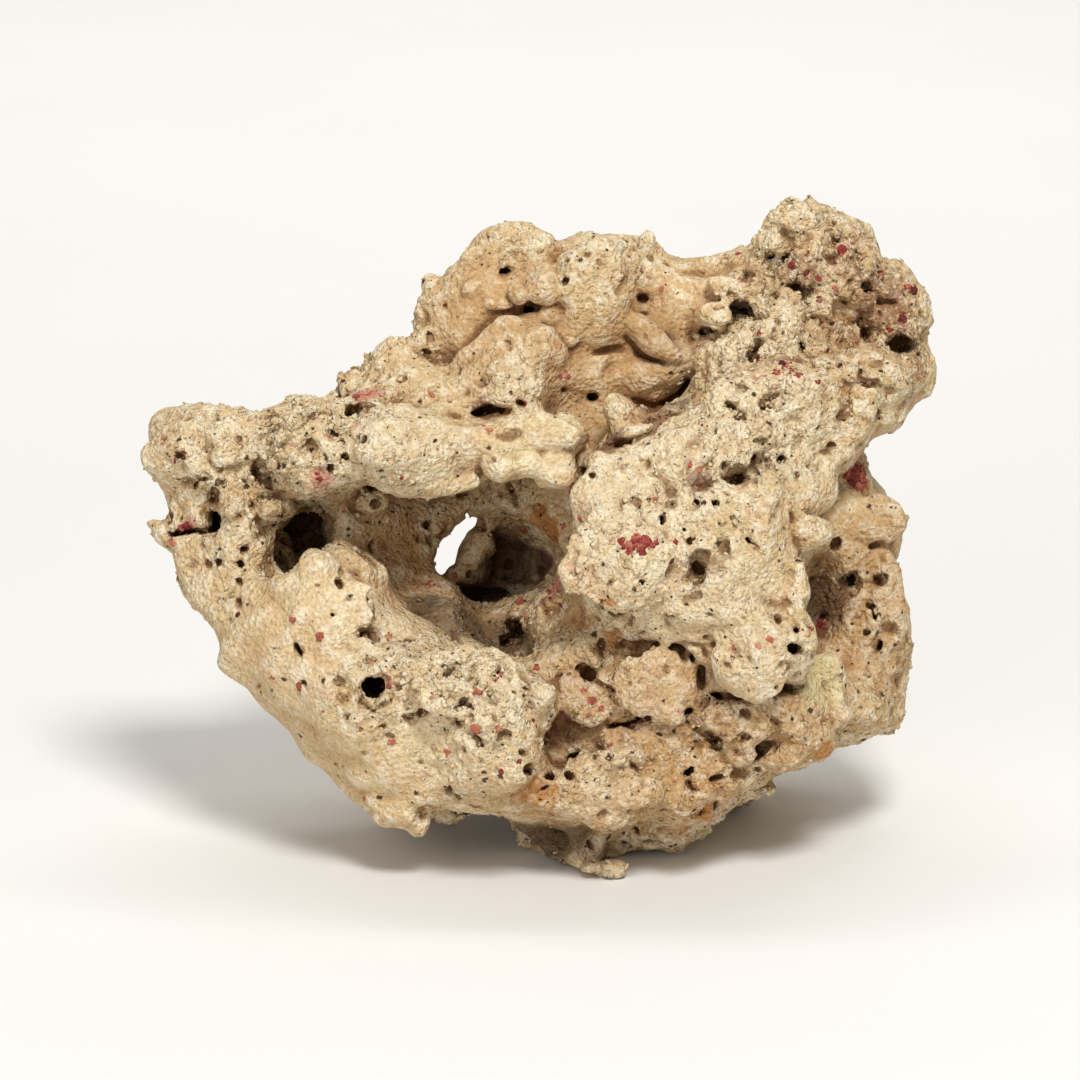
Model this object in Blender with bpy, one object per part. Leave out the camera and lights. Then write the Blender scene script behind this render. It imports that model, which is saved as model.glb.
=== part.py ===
"""A dry reef rock: one weathered lump of coral limestone with a cave through it.

The rock is fused from lumps, hollowed out, trimmed to the outline of its face, roughened,
and worn flat where its feet rest. Metres, +Z up, origin under its middle on the surface it
rests on. Places on the rock are stated as its face shows them: steps to the right, steps
down, and steps out towards the viewer, where the rock is FACE_WIDTH steps wide.
"""

import math
from typing import NamedTuple

import bmesh
import bpy
from mathutils import Matrix, Vector
from mathutils.bvhtree import BVHTree

ROCK_WIDTH = 0.280
FACE_WIDTH = 800.0
FACE_CENTRE = (540.0, 540.0)
STEP = ROCK_WIDTH / FACE_WIDTH
VIEW_ELEVATION = math.radians(15.0)
VIEW_DISTANCE = 1.6

FUSE_VOXEL = 0.0028
FINISH_VOXEL = 0.0020
SOFTEN_FACTOR = 0.5
SWELL_SIZE, SWELL_HEIGHT = 0.032, 0.010
KNUCKLE_SIZE, KNUCKLE_HEIGHT = 0.013, 0.007
GNAW_SIZE, GNAW_HEIGHT = 0.0062, 0.0032
TRIANGLES_KEPT = 7200
LUMP_FINENESS = 3
PIT_FINENESS = 1
FACE_SIDE, BACK_SIDE = 1, -1
OUTLINE_REACH = 330.0
REST_DEPTH = 313.0


class Lump(NamedTuple):
    """An ellipsoid of rock or of hollow: its place, its half sizes across, down and out, and its turns in degrees."""

    at: tuple
    radii: tuple
    turn: float = 0.0
    tip: float = 0.0


class Spot(NamedTuple):
    """An ellipsoid centred on the skin, where the face shows (across, down)."""

    at: tuple
    radii: tuple
    turn: float = 0.0


LEFT_ARM = (
    Lump((215, 455, 10), (78, 58, 75)),
    Lump((320, 450, 40), (92, 54, 80)),
    Lump((425, 448, 70), (80, 48, 80), 5),
    Lump((500, 442, 60), (65, 34, 80), 8),
    Lump((232, 530, 10), (44, 75, 70), 15),
    Lump((190, 560, -10), (40, 40, 50)),
    Lump((162, 522, 0), (24, 16, 34)),
)
LOBE = (
    Lump((390, 690, 30), (188, 98, 120), -29),
    Lump((498, 728, 80), (70, 78, 100)),
    Lump((330, 650, 40), (102, 80, 90), -30),
    Lump((322, 606, 90), (50, 50, 50)),
    Lump((352, 596, 20), (38, 50, 60)),
    Lump((412, 672, 90), (52, 36, 50), -20),
    Lump((245, 610, 10), (60, 72, 70)),
    Lump((420, 762, 20), (112, 60, 100), -15),
)
LEFT_SHOULDER = (
    Lump((395, 385, -20), (48, 44, 60)),
    Lump((370, 402, 10), (45, 30, 50)),
    Lump((460, 402, 0), (62, 42, 70)),
    Lump((512, 388, 40), (56, 26, 50), 15),
    Lump((556, 430, 90), (30, 20, 40), 10),
)
CROWN = (
    Lump((490, 302, -50), (70, 72, 80)),
    Lump((518, 260, -50), (44, 40, 50)),
    Lump((590, 287, -40), (78, 60, 70)),
    Lump((442, 325, -60), (30, 50, 50)),
    Lump((450, 365, -40), (34, 34, 45)),
    Lump((560, 350, -10), (80, 56, 50), 0, 25),
    Lump((652, 336, 10), (36, 15, 20), -42),
    Lump((645, 252, -40), (14, 22, 18)),
    Lump((690, 312, -70), (112, 66, 90)),
    Lump((740, 292, -50), (62, 48, 60)),
)
KNOB = (
    Lump((815, 292, -30), (86, 86, 90)),
    Lump((803, 234, -30), (32, 36, 40)),
    Lump((848, 248, -30), (34, 40, 45)),
    Lump((888, 312, -40), (44, 52, 60)),
    Lump((903, 362, -30), (40, 44, 60)),
    Lump((860, 384, -10), (68, 62, 80)),
    Lump((760, 302, -20), (50, 50, 60)),
)
BROW = (
    Lump((750, 420, 30), (130, 68, 100), 27),
    Lump((748, 350, 20), (72, 32, 60), 24),
    Lump((700, 480, 50), (112, 70, 110), 15),
    Lump((820, 420, 0), (92, 70, 90), 30),
    Lump((622, 464, 80), (46, 28, 60)),
    Lump((614, 416, 66), (12, 28, 14), 8),
    Lump((634, 424, 60), (24, 16, 14), -30),
)
BLUFF = (
    Lump((640, 555, 90), (76, 88, 100)),
    Lump((720, 565, 90), (90, 108, 100)),
    Lump((800, 512, 60), (36, 46, 70)),
    Lump((770, 640, 90), (58, 72, 80)),
    Lump((602, 512, 100), (42, 42, 70)),
    Lump((556, 616, 24), (34, 40, 60)),
    Lump((590, 648, 50), (60, 30, 70)),
)
LOWER_FACE = (
    Lump((650, 715, 40), (96, 76, 76)),
    Lump((640, 682, 60), (52, 36, 62)),
    Lump((592, 688, 50), (34, 40, 66)),
    Lump((760, 730, 40), (82, 50, 90)),
    Lump((720, 710, 60), (34, 44, 70)),
    Lump((600, 782, 50), (82, 44, 80)),
    Lump((700, 780, 30), (78, 50, 80)),
    Lump((540, 784, 40), (46, 34, 60)),
)
UNDERSIDE = (
    Lump((655, 822, -60), (58, 42, 70)),
    Lump((565, 828, -10), (64, 34, 60)),
    Lump((556, 862, 14), (22, 18, 30)),
    Lump((592, 868, 22), (26, 16, 26)),
    Lump((402, 812, -130), (30, 34, 40)),
    Lump((430, 770, -120), (66, 50, 66)),
    Lump((630, 768, -180), (90, 56, 70)),
    Lump((720, 772, -170), (60, 46, 60)),
)
RIGHT_FLANK = (
    Lump((850, 528, -80), (62, 58, 80)),
    Lump((865, 628, -76), (50, 86, 86)),
    Lump((855, 702, -60), (54, 42, 80)),
    Lump((806, 704, 0), (52, 46, 80)),
    Lump((858, 482, -70), (24, 32, 40)),
    Lump((770, 700, -60), (100, 70, 100)),
)
CORE = (
    Lump((645, 560, -90), (190, 200, 130)),
    Lump((760, 560, -90), (130, 200, 120)),
    Lump((560, 420, -90), (150, 90, 110)),
    Lump((395, 560, -80), (115, 95, 38)),
    Lump((545, 560, -125), (80, 100, 40)),
    Lump((490, 610, -150), (100, 76, 66)),
    Lump((440, 560, -120), (70, 60, 40)),
)
BACK = (
    Lump((650, 480, -190), (170, 130, 90)),
    Lump((560, 660, -150), (150, 110, 100)),
    Lump((760, 620, -170), (120, 130, 90)),
    Lump((300, 500, -60), (130, 80, 70)),
    Lump((360, 640, -50), (130, 90, 90)),
    Lump((480, 380, -130), (120, 90, 90)),
    Lump((780, 380, -130), (110, 90, 90)),
    Lump((430, 470, -170), (110, 30, 60), 10),
    Lump((350, 430, -120), (46, 40, 56)),
    Lump((690, 420, -256), (150, 26, 50), -18),
    Lump((560, 570, -236), (56, 110, 44), 20),
    Lump((820, 500, -180), (50, 90, 60), 10),
    Lump((480, 700, -190), (80, 60, 60)),
    Lump((800, 690, -170), (60, 50, 70)),
    Lump((640, 320, -190), (90, 30, 60), 12),
)
CAVE = (
    Lump((450, 562, 130), (112, 62, 162), -12),
    Lump((470, 606, 130), (80, 40, 110), -16),
    Lump((380, 536, 120), (70, 34, 130)),
    Lump((502, 536, 130), (64, 54, 176)),
    Lump((303, 540, 30), (30, 40, 120), 22),
    Lump((286, 562, 60), (16, 18, 60)),
    Lump((500, 562, 10), (60, 46, 140)),
    Lump((458, 545, -150), (46, 12, 140), 56),
)
DEEP_HOLLOWS = (
    Lump((672, 396, 130), (52, 18, 84), 20),
    Lump((648, 416, 130), (22, 14, 70), 10),
    Lump((592, 398, 90), (34, 34, 66)),
    Lump((700, 330, 60), (70, 18, 60), 20),
    Lump((826, 592, 60), (24, 90, 100), -4),
    Lump((570, 745, 130), (20, 28, 66), 20),
    Lump((548, 842, 50), (40, 12, 50)),
    Lump((774, 746, 90), (36, 9, 60)),
)
BACK_HOLLOWS = (
    Lump((634, 500, -320), (62, 26, 100), 20),
    Lump((430, 640, -250), (44, 50, 60), -10),
    Lump((764, 560, -310), (34, 64, 110), 5),
    Lump((670, 655, -300), (96, 22, 90), -12),
    Lump((560, 400, -280), (64, 22, 90), 12),
    Lump((370, 560, -180), (50, 32, 70), 20),
    Lump((836, 420, -250), (26, 50, 90)),
    Lump((706, 348, -280), (50, 18, 90), -20),
    Lump((300, 480, -170), (46, 16, 60), 15),
    Lump((560, 730, -260), (24, 40, 70), -25),
)
WARTS = (
    Spot((546, 284), (18, 18, 22)),
    Spot((520, 291), (11, 11, 14)),
    Spot((568, 316), (14, 12, 14)),
    Spot((588, 303), (18, 14, 16)),
    Spot((610, 298), (16, 16, 18)),
    Spot((711, 314), (17, 14, 20)),
    Spot((502, 464), (13, 13, 16)),
    Spot((524, 464), (14, 14, 16)),
    Spot((554, 472), (20, 18, 22)),
    Spot((378, 504), (11, 10, 14)),
    Spot((815, 536), (15, 18, 22)),
    Spot((838, 708), (14, 12, 16)),
    Spot((876, 712), (14, 10, 16)),
    Spot((880, 530), (14, 12, 18)),
    Spot((756, 316), (14, 12, 16)),
    Spot((432, 668), (18, 14, 18)),
    Spot((545, 700), (14, 16, 16)),
)
PITS = (
    Spot((377, 686), (10, 10, 60)),
    Spot((214, 523), (10, 13, 70)),
    Spot((190, 533), (24, 4, 40), 3),
    Spot((269, 477), (15, 10, 26), -30),
    Spot((214, 498), (7, 7, 18)),
    Spot((357, 411), (15, 11, 34), -30),
    Spot((296, 408), (9, 7, 20)),
    Spot((499, 412), (28, 8, 44), 8),
    Spot((506, 273), (18, 5, 26)),
    Spot((530, 308), (12, 7, 26)),
    Spot((585, 400), (8, 9, 30)),
    Spot((612, 371), (13, 8, 26), -20),
    Spot((616, 277), (5, 5, 16)),
    Spot((589, 450), (16, 7, 34), 10),
    Spot((627, 447), (12, 5, 30)),
    Spot((585, 474), (6, 8, 30)),
    Spot((732, 307), (16, 5, 22), -10),
    Spot((795, 289), (9, 7, 30)),
    Spot((858, 285), (7, 6, 26)),
    Spot((868, 330), (9, 12, 26), 40),
    Spot((899, 343), (10, 6, 30), -10),
    Spot((732, 475), (20, 8, 34), -8),
    Spot((745, 527), (17, 6, 34), -42),
    Spot((718, 556), (16, 4, 26), -5),
    Spot((697, 574), (6, 6, 22)),
    Spot((667, 522), (5, 9, 20)),
    Spot((855, 582), (20, 7, 40), 12),
    Spot((876, 622), (5, 20, 26), 10),
    Spot((892, 650), (5, 20, 26), 8),
    Spot((786, 690), (10, 9, 34)),
    Spot((714, 698), (7, 5, 26)),
    Spot((693, 680), (5, 26, 22), -3),
    Spot((628, 721), (22, 4, 26), 14),
    Spot((536, 775), (14, 7, 24)),
    Spot((686, 775), (8, 9, 24)),
    Spot((647, 783), (10, 6, 24)),
    Spot((291, 655), (4, 11, 26), -25),
    Spot((796, 627), (4, 4, 24)),
    Spot((791, 650), (5, 7, 24)),
)
BACK_PITS = (
    Spot((600, 455), (9, 9, 50)),
    Spot((720, 470), (16, 7, 30), 20),
    Spot((790, 360), (10, 8, 30)),
    Spot((520, 520), (14, 9, 34), -30),
    Spot((430, 430), (8, 8, 30)),
    Spot((350, 470), (12, 7, 30), 15),
    Spot((640, 590), (18, 6, 34), -15),
    Spot((700, 700), (12, 10, 30)),
    Spot((800, 620), (7, 18, 30), 10),
    Spot((590, 660), (8, 8, 40)),
    Spot((420, 660), (14, 8, 30), 25),
    Spot((260, 520), (9, 7, 26)),
    Spot((640, 290), (14, 7, 28), -10),
    Spot((500, 310), (9, 9, 28)),
    Spot((850, 560), (7, 12, 26)),
    Spot((540, 610), (6, 6, 24)),
)
OUTLINE = (
    (140, 466), (143, 442), (157, 423), (177, 410), (196, 399), (208, 394), (228, 398),
    (267, 399), (276, 392), (289, 399), (324, 399), (341, 396), (345, 380), (358, 371),
    (367, 356), (380, 347), (395, 341), (410, 349), (418, 355), (423, 344), (419, 330),
    (416, 311), (426, 292), (437, 278), (451, 273), (455, 261), (470, 251), (484, 242),
    (498, 227), (519, 222), (540, 230), (556, 240), (572, 232), (588, 228), (617, 236),
    (632, 238), (645, 232), (655, 249), (672, 250), (688, 245), (702, 250), (730, 248),
    (751, 246), (761, 237), (772, 225), (782, 211), (802, 201), (817, 209), (852, 211),
    (866, 221), (872, 242), (880, 256), (902, 267), (916, 285), (928, 309), (931, 330),
    (927, 341), (937, 358), (940, 376), (936, 394), (916, 409), (905, 428), (884, 439),
    (867, 455), (873, 481), (879, 500), (902, 510), (909, 527), (912, 540), (910, 566),
    (903, 581), (914, 596), (909, 620), (912, 641), (910, 665), (900, 680), (900, 695),
    (904, 710), (888, 731), (870, 734), (861, 738), (838, 746), (829, 760), (816, 756),
    (798, 761), (780, 770), (772, 791), (763, 800), (750, 799), (735, 807), (720, 822),
    (706, 836), (684, 849), (660, 856), (642, 851), (624, 842), (609, 845), (594, 858),
    (604, 864), (613, 875), (609, 879), (579, 878), (570, 872), (555, 873), (543, 867),
    (538, 854), (504, 832), (501, 812), (487, 816), (458, 821), (424, 817), (423, 826),
    (409, 839), (388, 832), (372, 820), (353, 799), (324, 785), (302, 770), (286, 750),
    (260, 724), (248, 698), (227, 681), (219, 663), (222, 635), (209, 617), (192, 609),
    (177, 584), (177, 555), (158, 544), (146, 523), (161, 510), (152, 491), (140, 482),
)


FACE_TURN = Matrix.Rotation(-VIEW_ELEVATION, 4, "X")
INTO_FACE = FACE_TURN @ Vector((0.0, 1.0, 0.0))


def on_face(across: float, down: float, out: float) -> Vector:
    """The place that the face shows at (across, down), out steps towards the viewer."""
    shrink = (1.0 - out * STEP / VIEW_DISTANCE) * STEP
    place = Vector(((across - FACE_CENTRE[0]) * shrink, -out * STEP, (FACE_CENTRE[1] - down) * shrink))
    return FACE_TURN @ place


def ellipsoid(built: bmesh.types.BMesh, fineness: int, centre: Vector, shape: NamedTuple, tip: float = 0.0) -> None:
    """Adds a lump's or a spot's ellipsoid to the mesh being built, turned in the plane of the face."""
    across, down, out = shape.radii
    matrix = (
        Matrix.Translation(centre)
        @ FACE_TURN
        @ Matrix.Rotation(-math.radians(shape.turn), 4, "Y")
        @ Matrix.Rotation(-math.radians(tip), 4, "X")
        @ Matrix.Diagonal((across * STEP, out * STEP, down * STEP, 1.0))
    )
    bmesh.ops.create_icosphere(built, subdivisions=fineness, radius=1.0, matrix=matrix)


def add_object(name: str, built: bmesh.types.BMesh) -> bpy.types.Object:
    """Links a new object that holds the mesh built."""
    mesh = bpy.data.meshes.new(name)
    built.to_mesh(mesh)
    built.free()
    obj = bpy.data.objects.new(name, mesh)
    bpy.context.scene.collection.objects.link(obj)
    return obj


def settle(obj: bpy.types.Object) -> None:
    """Applies the object's modifiers."""
    graph = bpy.context.evaluated_depsgraph_get()
    shaped = bpy.data.meshes.new_from_object(obj.evaluated_get(graph))
    obj.modifiers.clear()
    obj.data = shaped


def fuse(obj: bpy.types.Object, voxel: float) -> None:
    """Joins an object's overlapping lumps in one even skin, and softens the creases a little."""
    joined = obj.modifiers.new("fuse", "REMESH")
    joined.mode = "VOXEL"
    joined.voxel_size = voxel
    softened = obj.modifiers.new("soften", "SMOOTH")
    softened.factor = SOFTEN_FACTOR
    softened.iterations = 1
    settle(obj)


def combine(obj: bpy.types.Object, operation: str, other: bpy.types.Object) -> None:
    """Joins the other object to this one, cuts it away or trims to it, and removes it."""
    modifier = obj.modifiers.new(operation.lower(), "BOOLEAN")
    modifier.operation = operation
    modifier.object = other
    modifier.solver = "MANIFOLD"
    settle(obj)
    bpy.data.objects.remove(other)


def roughen(obj: bpy.types.Object, name: str, size: float, height: float, creased: bool) -> None:
    """Raises and lowers the skin in a cloudy pattern, or raises it in knuckles with creases between them."""
    texture = bpy.data.textures.new(name, "CLOUDS")
    texture.noise_scale = size
    texture.noise_depth = 1
    texture.noise_type = "HARD_NOISE" if creased else "SOFT_NOISE"
    modifier = obj.modifiers.new(name, "DISPLACE")
    modifier.texture = texture
    modifier.texture_coords = "LOCAL"
    modifier.strength = height


def lumps_object(name: str, lumps: tuple) -> bpy.types.Object:
    """The lumps as one skin."""
    built = bmesh.new()
    for lump in lumps:
        ellipsoid(built, LUMP_FINENESS, on_face(*lump.at), lump, lump.tip)
    obj = add_object(name, built)
    fuse(obj, FUSE_VOXEL)
    return obj


def add_spots(built: bmesh.types.BMesh, spots: tuple, skin: BVHTree, fineness: int, side: int) -> None:
    """Adds the ellipsoids of spots, each centred where its line meets the skin from the face (1) or the back (-1)."""
    eye = FACE_TURN @ Vector((0.0, -VIEW_DISTANCE, 0.0))
    for spot in spots:
        sight = (on_face(*spot.at, 0.0) - eye).normalized()
        start = eye if side == FACE_SIDE else on_face(*spot.at, -OUTLINE_REACH)
        place = skin.ray_cast(start, sight * side)[0]
        ellipsoid(built, fineness, place, spot)


def grow_warts(obj: bpy.types.Object) -> None:
    """Sets the warts on the rock's skin, to be fused with it."""
    built = bmesh.new()
    built.from_mesh(obj.data)
    add_spots(built, WARTS, skin_of(obj), LUMP_FINENESS, FACE_SIDE)
    built.to_mesh(obj.data)
    built.free()


def pits_object(obj: bpy.types.Object) -> bpy.types.Object:
    """The pits to cut in the rock's skin."""
    built = bmesh.new()
    add_spots(built, PITS, skin_of(obj), PIT_FINENESS, FACE_SIDE)
    add_spots(built, BACK_PITS, skin_of(obj), PIT_FINENESS, BACK_SIDE)
    return add_object("pits", built)


def outline_object() -> bpy.types.Object:
    """A block whose sides run along the lines of sight through the outline."""
    built = bmesh.new()
    near, far = (
        [built.verts.new(on_face(*point, out)) for point in OUTLINE]
        for out in (OUTLINE_REACH, -OUTLINE_REACH)
    )
    built.faces.new(near)
    built.faces.new(reversed(far))
    for i in range(len(OUTLINE)):
        built.faces.new((near[i], near[i - 1], far[i - 1], far[i]))
    bmesh.ops.recalc_face_normals(built, faces=built.faces)
    return add_object("outline", built)


def skin_of(obj: bpy.types.Object) -> BVHTree:
    """A tree of the object's faces, for finding where a line meets them."""
    return BVHTree.FromObject(obj, bpy.context.evaluated_depsgraph_get())


def stand(obj: bpy.types.Object) -> None:
    """Wears the feet to one flat plane, and puts the origin on it, under the rock's middle."""
    floor = -REST_DEPTH * STEP
    built = bmesh.new()
    built.from_mesh(obj.data)
    cut = bmesh.ops.bisect_plane(
        built,
        geom=[*built.verts, *built.edges, *built.faces],
        plane_co=(0.0, 0.0, floor),
        plane_no=(0.0, 0.0, 1.0),
        clear_inner=True,
    )
    edges = [item for item in cut["geom_cut"] if isinstance(item, bmesh.types.BMEdge)]
    bmesh.ops.holes_fill(built, edges=edges)
    bmesh.ops.triangulate(built, faces=built.faces)
    low = [min(vertex.co[i] for vertex in built.verts) for i in range(3)]
    high = [max(vertex.co[i] for vertex in built.verts) for i in range(3)]
    base = Vector(((low[0] + high[0]) / 2, (low[1] + high[1]) / 2, floor))
    bmesh.ops.translate(built, verts=built.verts, vec=-base)
    built.to_mesh(obj.data)
    built.free()
    print("the face's centre is at", [round(-side, 5) for side in base])


def limestone() -> bpy.types.Material:
    """Bleached coral limestone."""
    material = bpy.data.materials.new("coral_limestone")
    material.use_nodes = True
    shader = material.node_tree.nodes["Principled BSDF"]
    shader.inputs["Base Color"].default_value = (0.72, 0.60, 0.42, 1.0)
    shader.inputs["Roughness"].default_value = 0.92
    shader.inputs["Metallic"].default_value = 0.0
    return material


def main() -> None:
    """Builds the rock."""
    for obj in list(bpy.data.objects):
        bpy.data.objects.remove(obj)
    masses = (
        LEFT_ARM + LOBE + LEFT_SHOULDER + CROWN + KNOB + BROW + BLUFF + LOWER_FACE
        + UNDERSIDE + RIGHT_FLANK + CORE + BACK
    )
    rock = lumps_object("reef_rock", masses)
    combine(rock, "DIFFERENCE", lumps_object("hollows", CAVE + DEEP_HOLLOWS + BACK_HOLLOWS))
    combine(rock, "INTERSECT", outline_object())
    fuse(rock, FINISH_VOXEL)
    roughen(rock, "swell", SWELL_SIZE, SWELL_HEIGHT, False)
    roughen(rock, "knuckles", KNUCKLE_SIZE, KNUCKLE_HEIGHT, True)
    roughen(rock, "gnawing", GNAW_SIZE, GNAW_HEIGHT, False)
    settle(rock)
    grow_warts(rock)
    fuse(rock, FINISH_VOXEL)
    thin = rock.modifiers.new("thin", "DECIMATE")
    thin.ratio = TRIANGLES_KEPT / (2.0 * len(rock.data.polygons))
    settle(rock)
    combine(rock, "DIFFERENCE", pits_object(rock))
    stand(rock)
    rock.data.materials.clear()
    rock.data.materials.append(limestone())
    rock.data.shade_smooth()


main()
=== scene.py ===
"""Dresses the dry reef rock: its gnawed limestone skin, the crusts that grow on it, and the studio it is shown in.

Places on the rock's face are pixels of the photograph's frame, 1080 by 1080, which FaceView turns into metres.
"""

import logging
import math
from dataclasses import dataclass, field
from enum import Enum

import bpy
import numpy as np
import openvdb
from mathutils import Matrix, Vector
from mathutils.bvhtree import BVHTree


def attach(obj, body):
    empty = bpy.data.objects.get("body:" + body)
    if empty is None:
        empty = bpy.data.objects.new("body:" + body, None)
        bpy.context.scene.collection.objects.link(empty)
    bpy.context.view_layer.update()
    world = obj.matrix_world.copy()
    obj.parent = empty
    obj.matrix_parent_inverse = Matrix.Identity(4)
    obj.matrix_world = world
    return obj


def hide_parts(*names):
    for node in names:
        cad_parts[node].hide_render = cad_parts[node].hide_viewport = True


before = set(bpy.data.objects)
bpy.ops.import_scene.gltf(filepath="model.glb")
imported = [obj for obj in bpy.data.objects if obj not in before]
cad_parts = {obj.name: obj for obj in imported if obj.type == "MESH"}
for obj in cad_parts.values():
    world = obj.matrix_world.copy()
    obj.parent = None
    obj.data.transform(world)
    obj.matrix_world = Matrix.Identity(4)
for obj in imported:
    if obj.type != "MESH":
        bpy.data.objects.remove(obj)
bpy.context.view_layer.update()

LOG = logging.getLogger("reef_rock")
MM = 0.001
ROCK_NODE = "reef_rock"
BODY = "root"


class Side(Enum):
    """The side of the rock that a mark is read or scattered on."""

    FACE = 1
    BACK = -1


@dataclass(frozen=True)
class FaceView:
    """The view that shows the rock's face: a camera a little above it, aimed at the face's centre."""

    centre: tuple[float, float, float] = (-0.00061, -0.02013, 0.10955)
    frame_pixels: float = 1080.0
    pixel: float = 0.00035
    elevation: float = math.radians(15.0)
    distance: float = 1.6
    sensor: float = 36.0

    @property
    def turn(self) -> Matrix:
        """The turn from the face's frame, where +Y looks into it, to the rock's frame."""
        return Matrix.Rotation(-self.elevation, 3, "X")

    @property
    def eye(self) -> Vector:
        """The camera's place."""
        return Vector(self.centre) + self.turn @ Vector((0.0, -self.distance, 0.0))

    @property
    def lens(self) -> float:
        """The focal length, in millimetres, that makes a pixel at the face's centre as large as stated."""
        return self.sensor * self.distance / (self.frame_pixels * self.pixel)

    def place(self, across: float, down: float, out: float = 0.0) -> Vector:
        """The point that a pixel shows at a given depth.

        Args:
            across: pixels from the frame's left edge.
            down: pixels from its top edge.
            out: pixels towards the camera from the face's centre.

        Returns:
            The point in metres.
        """
        shrink = (1.0 - out * self.pixel / self.distance) * self.pixel
        half = self.frame_pixels / 2
        local = Vector(((across - half) * shrink, -out * self.pixel, (half - down) * shrink))
        return Vector(self.centre) + self.turn @ local


FACE = FaceView()


def spline_weights(samples: int, knots: int, step: float) -> np.ndarray:
    """Cubic spline weights that spread random values at knots over evenly spaced samples.

    Args:
        samples: how many samples.
        knots: how many knots.
        step: the distance between samples, in knot spacings.

    Returns:
        A matrix of samples by knots.
    """
    at = np.arange(samples) * step + 1.0
    first = np.floor(at).astype(int) - 1
    t = (at - np.floor(at))[:, None]
    near = np.hstack(((1 - t) ** 3, 3 * t**3 - 6 * t**2 + 4, -3 * t**3 + 3 * t**2 + 3 * t + 1, t**3)) / 6
    weights = np.zeros((samples, knots), np.float32)
    for k in range(4):
        weights[np.arange(samples), first + k] = near[:, k]
    return weights


def smooth_noise(shape: tuple[int, int, int], voxel: float, size: float, seed: int) -> np.ndarray:
    """Smooth random values over a grid.

    Args:
        shape: the grid's cells along each axis.
        voxel: a cell's side.
        size: the distance over which the values change.
        seed: the random seed.

    Returns:
        The values, with a mean of 0 and a spread of 1.
    """
    step = voxel / size
    knots = [int(cells * step) + 5 for cells in shape]
    values = np.random.default_rng(seed).standard_normal(knots).astype(np.float32)
    for axis, cells in enumerate(shape):
        weights = spline_weights(cells, knots[axis], step)
        values = np.moveaxis(np.tensordot(weights, values, axes=(1, axis)), 0, axis)
    values = np.ascontiguousarray(values)
    return values / values[::4, ::4, ::4].std()


@dataclass(frozen=True)
class Bite:
    """An ellipsoid where the face shows a pixel, on the skin unless it says how far out it is, in pixels."""

    at: tuple[float, float]
    radii: tuple[float, float, float]
    turn: float = 0.0
    lift: float = 0.0
    out: float | None = None


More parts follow.
